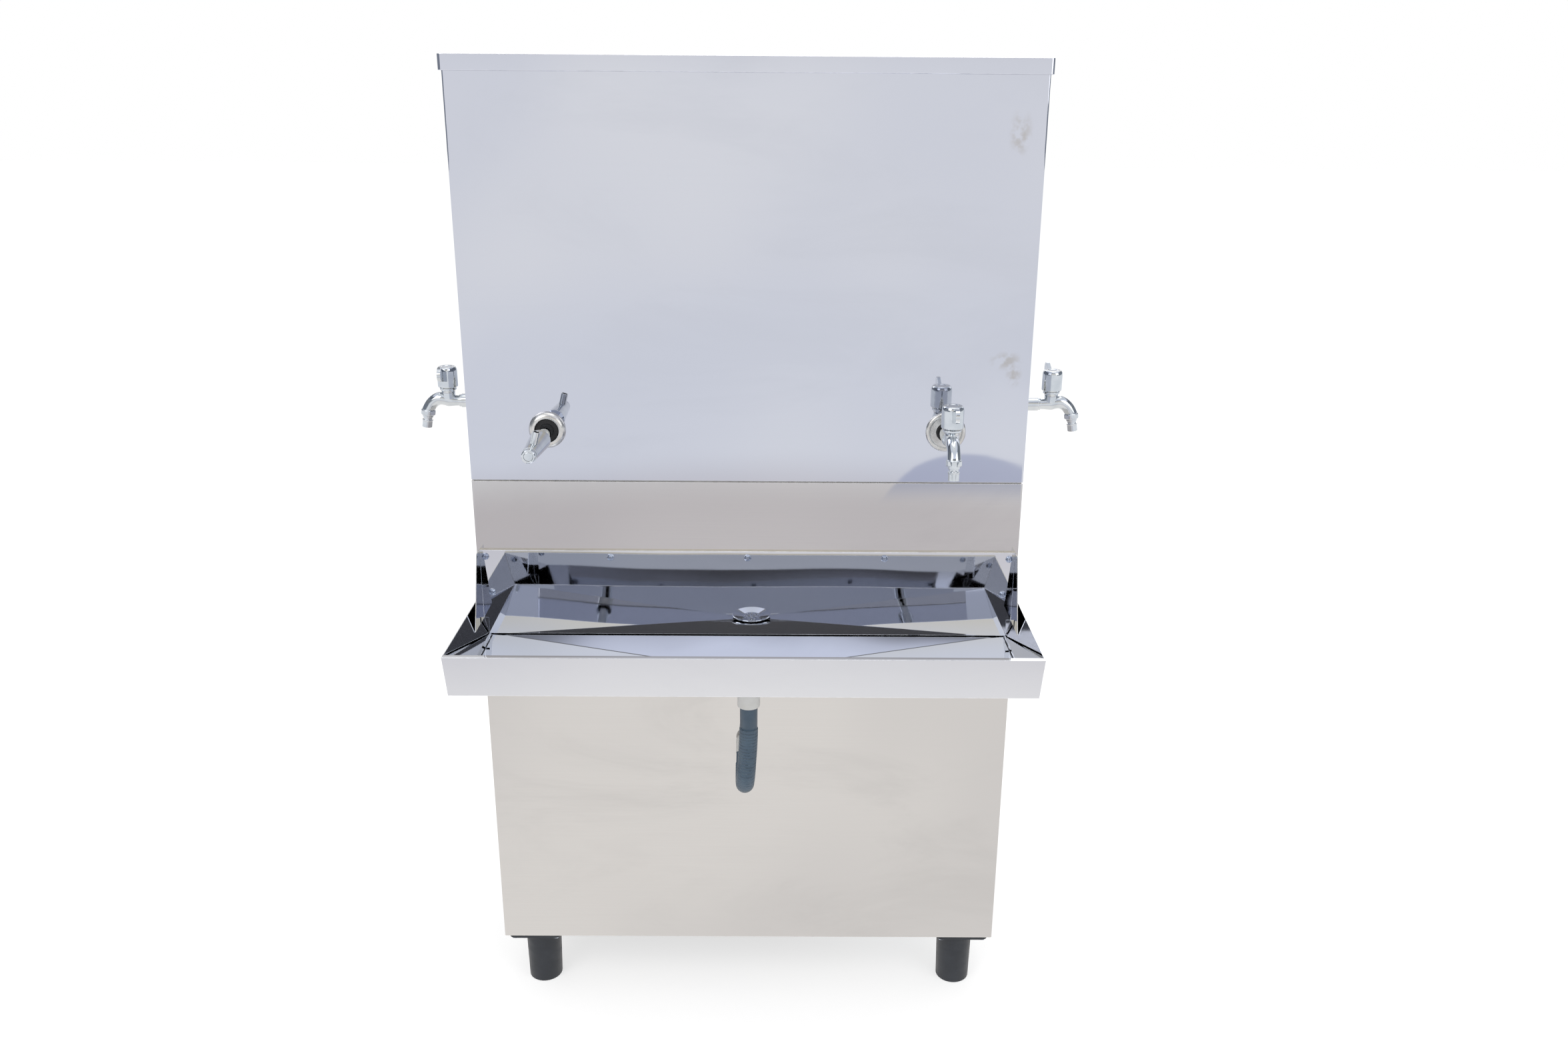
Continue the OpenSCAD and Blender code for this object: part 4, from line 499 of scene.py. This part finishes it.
def add_hand_marks(finish):
    """Dull the upper panel where hands have lifted the lid and held the casing."""
    tree = finish.tree
    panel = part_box("upper_casing")[0][1]
    streaks = ranged(tree, finish.noise(scale=60.0, detail=3.0), low=0.38, high=0.6)
    for (across, up), (wide, tall) in HAND_MARKS:
        spread = length_of(
            tree, centred(tree, finish.place, (across, panel, up), (wide, wide, tall))
        )
        near = ranged(tree, spread, low=0.2, high=1.0, to_low=1.0, to_high=0.0)
        mask = math_node(tree, "MULTIPLY", near, streaks)
        finish.colour_by(mask, MARK_COLOUR, share=0.5)
        finish.rough_by(mask, amount=0.10)


# Sheet steels: two tones, roughness, height of the waves, roughness of the smears, haze
SHEET_STEELS = {
    "trough_pan": (
        linear(226, 228, 232), linear(219, 222, 228), 0.012, 0.0008, 0.02, 0.12,
    ),
    "trough_steel": (
        linear(226, 228, 232), linear(219, 222, 228), 0.012, 0.0018, 0.02, 0.12,
    ),
    "upper_steel": (
        linear(213, 214, 220), linear(205, 207, 216), 0.022, 0.0010, 0.03, 0.2,
    ),
    "lower_steel": (
        linear(214, 212, 210), linear(205, 203, 202), 0.016, 0.0008, 0.06, 0.35,
    ),
    "tank_steel": (
        linear(190, 192, 196), linear(178, 181, 186), 0.3, 0.0012, 0.12, 0.5,
    ),
}

# Moulded pieces: two tones, roughness, colour of the scuffed edges
MOULDED = {
    "deck": (linear(214, 214, 211), linear(200, 199, 196), 0.5, linear(232, 232, 230)),
    "foot_plastic": (linear(36, 41, 49), linear(44, 49, 57), 0.42, linear(74, 78, 84)),
    "black_plastic": (linear(30, 31, 33), linear(39, 40, 42), 0.4, linear(70, 71, 73)),
    "rubber": (linear(24, 24, 25), linear(32, 32, 33), 0.62, linear(52, 52, 53)),
    "white_plastic": (
        linear(232, 232, 230), linear(222, 221, 217), 0.34, linear(240, 240, 238),
    ),
    "pipe_plastic": (
        linear(198, 200, 202), linear(186, 188, 190), 0.4, linear(216, 217, 218),
    ),
    "hose_plastic": (
        linear(74, 94, 112), linear(64, 84, 102), 0.34, linear(98, 118, 134),
    ),
    "float_plastic": (
        linear(38, 74, 128), linear(32, 64, 112), 0.3, linear(74, 106, 152),
    ),
}

# Plated and drawn metals: two tones, roughness, colour of the rubbed edges, patch scale
PLATED = {
    "chrome": (
        linear(214, 218, 221), linear(203, 208, 212), 0.02, linear(232, 234, 236), 60.0,
    ),
    "fins": (
        linear(178, 182, 186), linear(150, 152, 154), 0.42, linear(200, 203, 206), 14.0,
    ),
    "satin_flange": (
        linear(224, 223, 220), linear(208, 206, 202), 0.26, linear(234, 234, 232), 60.0,
    ),
    "plated_screw": (
        linear(186, 196, 214), linear(150, 158, 176), 0.22, linear(214, 220, 232), 60.0,
    ),
    "brass": (
        linear(214, 178, 104), linear(190, 152, 84), 0.24, linear(232, 202, 138), 60.0,
    ),
}


def make_finishes():
    """Every finish of the cooler, by name."""
    finishes = {
        "galvanised": galvanised(),
        "foam": blown_foam(),
        "black_paint": baked_paint(),
        "copper": copper(),
    }
    for name, row in SHEET_STEELS.items():
        finishes[name] = sheet_steel(name, *row)
    for name, row in MOULDED.items():
        finishes[name] = moulded(name, *row)
    for name, row in PLATED.items():
        finishes[name] = plated(name, *row)
    lean_front_wall(finishes["trough_pan"])
    add_hand_marks(finishes["upper_steel"])
    return finishes


FINISHES = {name: finish.done() for name, finish in make_finishes().items()}

# Nodes whose finish isn't their slot's
FINISH_OF = {
    "tap_flanges": "satin_flange",
    "jet_tap_flange": "satin_flange",
    "tray": "trough_pan",
}


def finish_of(node_name):
    """The finish of a node: its own where it has one, else its slot's."""
    return FINISHES[FINISH_OF.get(node_name, SLOT_OF[node_name])]


def dress_nodes():
    """Give every CAD node its finish."""
    for name, node in NODES.items():
        if not node.material_slots:
            node.data.materials.append(None)
        for slot in node.material_slots:
            slot.material = finish_of(name)


# Floor, sky and lamps
FLOOR_HALF = 30.0
FLOOR_LIT = (0.5, 0.5, 0.5)
FLOOR_GLOW = (0.66, 0.66, 0.66)
FLOOR_BOUNCE = (0.72, 0.72, 0.72)
NEAR_FLOOR = (1.0, 0.98, 0.96)
# Distances between which the mirrored floor turns to its next colour
FLOOR_RINGS = [
    (1.5, 2.7, (0.75, 0.73, 0.76)),
    (3.0, 3.9, (0.94, 0.96, 1.0)),
    (5.0, 12.0, (0.97, 0.98, 1.0)),
]
SHADE_PLACE = (0.88, -3.42, 0.0)
SHADE_SIZE = (0.33, 0.40, 1.0)
SHADE_COLOUR = (0.50, 0.54, 0.70)
SHADE_STRENGTH = 0.75
SHADE_UNEVEN = 0.34


def hill_shade(tree, place):
    """A mask of the shade patch on the mirrored floor: a hill with an uneven edge."""
    hill_place = split(tree, centred(tree, place, SHADE_PLACE, SHADE_SIZE))
    across = math_node(tree, "ABSOLUTE", hill_place["X"])
    curve = math_node(tree, "POWER", across, 2.0)
    along = math_node(tree, "ADD", hill_place["Y"], 1.0)
    patches = noise(tree, place, scale=3.1, detail=2.0)
    uneven = math_node(tree, "MULTIPLY", patches, SHADE_UNEVEN)
    hill = math_node(tree, "SUBTRACT", math_node(tree, "ADD", along, uneven), curve)
    shade = ranged(tree, hill, low=0.10, high=0.26)
    fading = ranged(
        tree, hill_place["Y"], low=0.0, high=0.9, to_low=SHADE_STRENGTH, to_high=0.0
    )
    return math_node(tree, "MULTIPLY", shade, fading)


def mirrored_floor(tree):
    """The floor as the steel shows it: warm by the feet, greyer, then pale and cool."""
    place = add_node(tree, "ShaderNodeTexCoord").outputs["Object"]
    away = length_of(tree, place)
    colour = NEAR_FLOOR
    for start, end, next_colour in FLOOR_RINGS:
        colour = blended(tree, ranged(tree, away, start, end), colour, next_colour)
    return blended(tree, hill_shade(tree, place), colour, SHADE_COLOUR)


def coloured(tree, kind, colour):
    """Add a shader of a colour, which is a tuple or a socket."""
    shader = add_node(tree, kind)
    feed(tree, shader.inputs["Color"], colour)
    return shader.outputs[0]


def by_ray(tree, lighting, mirrored, seen):
    """Choose one shader for the camera, one for mirrors and one for all other light."""
    path = add_node(tree, "ShaderNodeLightPath")
    by_gloss = add_node(tree, "ShaderNodeMixShader")
    tree.links.new(path.outputs["Is Glossy Ray"], by_gloss.inputs[0])
    tree.links.new(lighting, by_gloss.inputs[1])
    tree.links.new(mirrored, by_gloss.inputs[2])
    by_camera = add_node(tree, "ShaderNodeMixShader")
    tree.links.new(path.outputs["Is Camera Ray"], by_camera.inputs[0])
    tree.links.new(by_gloss.outputs[0], by_camera.inputs[1])
    tree.links.new(seen, by_camera.inputs[2])
    return by_camera.outputs[0]


def make_floor():
    """A pale floor that the camera sees as white with the cooler's soft shadow."""
    bpy.ops.object.select_all(action="DESELECT")
    bpy.ops.mesh.primitive_plane_add(size=2.0 * FLOOR_HALF, location=(0.0, 0.0, 0.0))
    floor = bpy.context.object
    floor.name = "studio_floor"
    material = bpy.data.materials.new("studio_floor")
    material.use_nodes = True
    tree = material.node_tree
    tree.nodes.clear()
    out = add_node(tree, "ShaderNodeOutputMaterial")
    seen = add_node(tree, "ShaderNodeAddShader")
    tree.links.new(coloured(tree, "ShaderNodeBsdfDiffuse", FLOOR_LIT), seen.inputs[0])
    tree.links.new(coloured(tree, "ShaderNodeEmission", FLOOR_GLOW), seen.inputs[1])
    mirrored = coloured(tree, "ShaderNodeEmission", mirrored_floor(tree))
    bounced = coloured(tree, "ShaderNodeBsdfDiffuse", FLOOR_BOUNCE)
    surface = by_ray(tree, bounced, mirrored, seen.outputs[0])
    tree.links.new(surface, out.inputs["Surface"])
    floor.data.materials.append(material)


# What the steel mirrors of the room, from straight down (-1) to straight up (1)
SKY_STEPS = [
    (-1.0, (0.90, 0.90, 0.89)),
    (0.0, (0.97, 0.98, 1.00)),
    (0.20, (0.78, 0.78, 0.82)),
    (0.37, (0.86, 0.79, 0.64)),
    (0.43, (0.95, 0.97, 1.05)),
    (0.49, (0.30, 0.29, 0.27)),
    (0.603, (0.22, 0.22, 0.24)),
    (0.624, (0.92, 0.95, 1.10)),
    (0.82, (0.80, 0.83, 0.90)),
    (1.0, (1.00, 1.00, 1.00)),
]
WHITE = (1.0, 1.0, 1.0)
AMBIENT = 0.72
# Dark flags at both sides of the room, up to a height, and how dark they are
FLAG_FROM = 0.50
FLAG_TO = 0.66
FLAG_FULL_BELOW = 0.45
FLAG_NONE_ABOVE = 0.75
FLAG_STRENGTH = 0.8
FLAG_COLOUR = (0.09, 0.12, 0.17)


def mirrored_room(tree):
    """The room as the steel shows it: bands of light by height, and the dark flags."""
    towards = add_node(tree, "ShaderNodeTexCoord").outputs["Generated"]
    direction = split(tree, towards)
    climb = math_node(tree, "MULTIPLY_ADD", direction["Z"], 0.5)
    climb.node.inputs[2].default_value = 0.5
    ramp = add_node(tree, "ShaderNodeValToRGB")
    ramp.color_ramp.interpolation = "EASE"
    steps = ramp.color_ramp.elements
    while len(steps) < len(SKY_STEPS):
        steps.new(0.5)
    for step, (height, colour) in zip(steps, SKY_STEPS):
        step.position = 0.5 * height + 0.5
        step.color = (*colour, 1.0)
    tree.links.new(climb, ramp.inputs[0])
    sideways = math_node(tree, "ABSOLUTE", direction["X"])
    flags = ranged(tree, sideways, FLAG_FROM, FLAG_TO)
    low_only = ranged(
        tree, direction["Z"], FLAG_FULL_BELOW, FLAG_NONE_ABOVE, to_low=1.0, to_high=0.0
    )
    dark = math_node(tree, "MULTIPLY", flags, low_only)
    darkness = math_node(tree, "MULTIPLY", dark, FLAG_STRENGTH)
    return blended(tree, darkness, ramp.outputs["Color"], FLAG_COLOUR)


def make_sky():
    """White behind the cooler, a soft room for its mirrors, an even light for the rest."""
    world = bpy.data.worlds.new("studio")
    bpy.context.scene.world = world
    world.use_nodes = True
    tree = world.node_tree
    tree.nodes.clear()
    out = add_node(tree, "ShaderNodeOutputWorld")
    room = coloured(tree, "ShaderNodeBackground", mirrored_room(tree))
    plain = coloured(tree, "ShaderNodeBackground", WHITE)
    plain.node.inputs["Strength"].default_value = AMBIENT
    white = coloured(tree, "ShaderNodeBackground", WHITE)
    tree.links.new(by_ray(tree, plain, room, white), out.inputs["Surface"])


# Soft lamps: name, place, size and watts
LAMPS = [
    ("key_lamp", (-2.6, -3.2, 3.4), 2.4, 46.0),
    ("fill_lamp", (3.0, -2.6, 2.6), 2.4, 26.0),
    ("top_lamp", (0.2, 0.3, 4.2), 2.6, 30.0),
    ("rear_lamp", (0.6, 3.6, 3.0), 2.4, 24.0),
]
LAMP_AIM = Vector((0.0, 0.0, 0.8))


def make_lamps():
    """Large soft lamps round the cooler."""
    for name, place, size, watts in LAMPS:
        data = bpy.data.lights.new(name, "AREA")
        data.shape = "SQUARE"
        data.size = size
        data.energy = watts
        lamp = bpy.data.objects.new(name, data)
        lamp.location = place
        lamp.rotation_euler = (LAMP_AIM - Vector(place)).to_track_quat("-Z", "Y").to_euler()
        bpy.context.scene.collection.objects.link(lamp)


# Shapes made from the frame
FOLD_ANGLE = math.radians(28)
SMOOTH_ANGLE = math.radians(38)
FLAT_ANGLE = math.radians(0.2)
MERGE_DISTANCE = 0.000002
EDGE_STEPS = 2


def only(piece):
    """Select one piece and make it active."""
    bpy.ops.object.select_all(action="DESELECT")
    piece.select_set(True)
    bpy.context.view_layer.objects.active = piece


def apply_modifier(piece, kind, **settings):
    """Add a modifier, set it and apply it."""
    only(piece)
    modifier = piece.modifiers.new(kind.lower(), kind)
    for name, value in settings.items():
        setattr(modifier, name, value)
    bpy.ops.object.modifier_apply(modifier=modifier.name)


def take_over(piece, node_name):
    """Let a piece stand for a CAD node: its body and its finish."""
    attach(piece, BODY_OF[node_name])
    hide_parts(node_name)
    piece.data.materials.clear()
    piece.data.materials.append(finish_of(node_name))


def merged_copy(node_name):
    """Copy a CAD node with its triangles joined and its flat faces made whole."""
    node = NODES[node_name]
    piece = bpy.data.objects.new(node_name + ".finished", node.data.copy())
    bpy.context.scene.collection.objects.link(piece)
    only(piece)
    bpy.ops.object.mode_set(mode="EDIT")
    bpy.ops.mesh.customdata_custom_splitnormals_clear()
    bpy.ops.mesh.select_all(action="SELECT")
    bpy.ops.mesh.remove_doubles(threshold=MERGE_DISTANCE)
    bpy.ops.mesh.dissolve_limited(angle_limit=FLAT_ANGLE)
    bpy.ops.object.mode_set(mode="OBJECT")
    return piece


def smooth_curves(piece):
    """Shade the curves smooth and leave the flat faces flat."""
    only(piece)
    bpy.ops.object.shade_smooth_by_angle(angle=SMOOTH_ANGLE, keep_sharp_edges=False)
    apply_modifier(piece, "WEIGHTED_NORMAL", weight=50, keep_sharp=True)


EDGES_IN_MM = {
    "lid": 0.5, "upper_casing": 0.4, "lower_casing": 0.4, "splash_plate": 0.35,
    "rear_cover": 0.4, "foot_front_left": 1.2, "foot_front_right": 1.2,
    "foot_rear_left": 1.2, "foot_rear_right": 1.2, "drain_cup": 0.5,
    "left_tap_body": 0.6, "right_tap_body": 0.6, "front_tap_body": 0.6,
    "left_tap_nozzle": 0.35, "right_tap_nozzle": 0.35, "front_tap_nozzle": 0.35,
    "left_tap_handle": 0.9, "right_tap_handle": 0.9, "front_tap_handle": 0.9,
    "jet_tap_flange": 0.3, "jet_tap_body": 0.4, "jet_tap_spout": 0.3, "jet_tap_button": 0.3,
    "tap_flanges": 0.25, "tap_gaskets": 0.4, "jet_tap_ring": 0.3,
    "thermostat": 1.0, "thermostat_knob": 0.6,
}


def ease_edges():
    """Break the edges of the pieces that show, and smooth their curves."""
    for node_name, width_mm in EDGES_IN_MM.items():
        piece = merged_copy(node_name)
        apply_modifier(
            piece, "BEVEL",
            width=width_mm / 1000, segments=EDGE_STEPS, limit_method="ANGLE",
            angle_limit=FOLD_ANGLE, use_clamp_overlap=True, miter_outer="MITER_ARC",
        )
        smooth_curves(piece)
        take_over(piece, node_name)


# Trough
CREASE_WIDTH = 0.011
CREASE_STEPS = 6
CREASE_LEAST = math.radians(1)
LYING = 0.9
TROUGH_EDGE = 0.0004


def is_floor_crease(edge):
    """Tell whether an edge lies between two faces of the trough's floor that meet at an angle."""
    faces = edge.link_faces
    if len(faces) != 2:
        return False
    both_lie = all(abs(face.normal.z) > LYING for face in faces)
    return both_lie and faces[0].normal.angle(faces[1].normal, 0.0) > CREASE_LEAST


def make_trough():
    """The pan with its floor creases rolled round, as a press brake leaves them."""
    piece = merged_copy("tray")
    only(piece)
    bpy.ops.object.mode_set(mode="EDIT")
    mesh = bmesh.from_edit_mesh(piece.data)
    for edge in mesh.edges:
        edge.select = is_floor_crease(edge)
    bmesh.update_edit_mesh(piece.data)
    bpy.ops.mesh.bevel(offset=CREASE_WIDTH, segments=CREASE_STEPS, clamp_overlap=True)
    bpy.ops.object.mode_set(mode="OBJECT")
    apply_modifier(
        piece, "BEVEL",
        width=TROUGH_EDGE, segments=EDGE_STEPS, limit_method="ANGLE",
        angle_limit=FOLD_ANGLE, use_clamp_overlap=True,
    )
    smooth_curves(piece)
    take_over(piece, "tray")


# Drain hose
HOSE_SIDES = 40
HOSE_VALLEY = 0.0108
HOSE_CREST = 0.0133
HOSE_SLOPE = (HOSE_VALLEY + HOSE_CREST) / 2
HOSE_CUFF = 0.0122
HOSE_WALL = 0.0016
HOSE_SMOOTH_ANGLE = math.radians(50)
TOP_CUFF = 0.038
LOW_CUFF = 0.027
CUFF_SHOULDER = 0.0012
SAME_RING = 0.0001
RIB_MERGE = 0.00002
BEND_RADIUS = 0.0455
END_CLIMB = math.radians(45)
END_RISE = 2.0 * HOSE_CREST
ROUTE_STEPS = 48
RIB_PITCH = 0.0052
# One rib: the share of the pitch that each step rises by, and the radius it ends at
RIB_STEPS = [
    (0.14, HOSE_VALLEY),
    (0.05, HOSE_SLOPE),
    (0.09, HOSE_CREST),
    (0.46, HOSE_CREST),
    (0.09, HOSE_SLOPE),
    (0.05, HOSE_VALLEY),
    (0.12, HOSE_VALLEY),
]


def hose_route():
    """Points of the hose: down from the cup, round under the trough, up to the elbow."""
    cup_low, cup_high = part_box("drain_cup")
    ball_low, ball_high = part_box("hose_elbow")
    hose_low, hose_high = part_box("drain_hose")
    top_x = (cup_low[0] + cup_high[0]) / 2
    end_x = (ball_low[0] + ball_high[0]) / 2
    top = Vector((top_x, (cup_low[1] + cup_high[1]) / 2, hose_high[2]))
    bend_z = hose_low[2] + HOSE_CREST + BEND_RADIUS
    drop = top.z - bend_z
    arc = math.pi / 2 + END_CLIMB
    length = drop + arc * BEND_RADIUS + END_RISE
    points = []
    for step in range(ROUTE_STEPS + 1):
        along = length * step / ROUTE_STEPS
        share = min(1.0, max(0.0, (along - END_RISE) / (length - 2 * END_RISE)))
        x = top_x + (end_x - top_x) * share * share * (3 - 2 * share)
        if along <= drop:
            y, z = top.y, top.z - along
        elif along <= drop + arc * BEND_RADIUS:
            angle = (along - drop) / BEND_RADIUS
            y = top.y + BEND_RADIUS * (1 - math.cos(angle))
            z = bend_z - BEND_RADIUS * math.sin(angle)
        else:
            rest = along - drop - arc * BEND_RADIUS
            y = top.y + BEND_RADIUS * (1 - math.cos(arc)) + rest * math.cos(END_CLIMB)
            z = bend_z - BEND_RADIUS * math.sin(arc) + rest * math.sin(END_CLIMB)
        points.append(Vector((x, y, z)))
    return points, length


def extrude_ring(rise, radius_from, radius_to):
    """Extrude the selected ring along the hose and open or close it."""
    bpy.ops.mesh.extrude_region_move(TRANSFORM_OT_translate={"value": (0.0, 0.0, rise)})
    share = radius_to / radius_from
    bpy.ops.transform.resize(value=(share, share, 1.0))


def make_ribs(ribs, pitch):
    """Model one rib along Z, and repeat it."""
    bpy.ops.object.select_all(action="DESELECT")
    bpy.ops.mesh.primitive_circle_add(vertices=HOSE_SIDES, radius=HOSE_VALLEY)
    hose = bpy.context.object
    hose.name = "ribbed_hose"
    bpy.ops.object.mode_set(mode="EDIT")
    bpy.ops.mesh.select_all(action="SELECT")
    radius = HOSE_VALLEY
    for share, next_radius in RIB_STEPS:
        extrude_ring(pitch * share, radius, next_radius)
        radius = next_radius
    bpy.ops.object.mode_set(mode="OBJECT")
    apply_modifier(
        hose, "ARRAY",
        count=ribs, use_relative_offset=False, use_constant_offset=True,
        constant_offset_displace=(0.0, 0.0, pitch), use_merge_vertices=True,
        merge_threshold=RIB_MERGE,
    )
    return hose


def add_cuff(hose, from_z, run):
    """Extrude the end ring of the ribs into a plain cuff."""
    only(hose)
    bpy.ops.object.mode_set(mode="EDIT")
    bpy.ops.mesh.select_all(action="DESELECT")
    bpy.ops.mesh.select_mode(type="VERT")
    mesh = bmesh.from_edit_mesh(hose.data)
    for vertex in mesh.verts:
        vertex.select = abs(vertex.co.z - from_z) < SAME_RING
    mesh.select_flush_mode()
    bmesh.update_edit_mesh(hose.data)
    shoulder = math.copysign(CUFF_SHOULDER, run)
    extrude_ring(shoulder, HOSE_VALLEY, HOSE_CUFF)
    extrude_ring(run - shoulder, HOSE_CUFF, HOSE_CUFF)
    bpy.ops.object.mode_set(mode="OBJECT")


def bend_along(piece, points):
    """Bend a straight piece along a route."""
    route = bpy.data.curves.new("hose_route", "CURVE")
    route.dimensions = "3D"
    line = route.splines.new("POLY")
    line.points.add(len(points) - 1)
    for spot, place in zip(line.points, points):
        spot.co = (*place, 1.0)
    guide = bpy.data.objects.new("hose_route", route)
    bpy.context.scene.collection.objects.link(guide)
    apply_modifier(piece, "CURVE", object=guide, deform_axis="POS_Z")
    bpy.data.objects.remove(guide)


def make_hose():
    """Ribbed hose: its ribs are given their cuffs and a wall, and bent along the route."""
    points, length = hose_route()
    ribbed = length - TOP_CUFF - LOW_CUFF
    ribs = int(ribbed / RIB_PITCH)
    hose = make_ribs(ribs, ribbed / ribs)
    for vertex in hose.data.vertices:
        vertex.co.z += TOP_CUFF
    add_cuff(hose, TOP_CUFF, -TOP_CUFF)
    add_cuff(hose, length - LOW_CUFF, LOW_CUFF)
    apply_modifier(hose, "SOLIDIFY", thickness=HOSE_WALL, offset=-1.0)
    bend_along(hose, points)
    only(hose)
    bpy.ops.object.mode_set(mode="EDIT")
    bpy.ops.mesh.select_all(action="SELECT")
    bpy.ops.mesh.normals_make_consistent(inside=False)
    bpy.ops.object.mode_set(mode="OBJECT")
    bpy.ops.object.shade_smooth_by_angle(angle=HOSE_SMOOTH_ANGLE, keep_sharp_edges=False)
    take_over(hose, "drain_hose")


make_camera()
make_sky()
make_lamps()
make_floor()
dress_nodes()
ease_edges()
make_trough()
make_hose()

bpy.context.scene.view_settings.view_transform = "Standard"
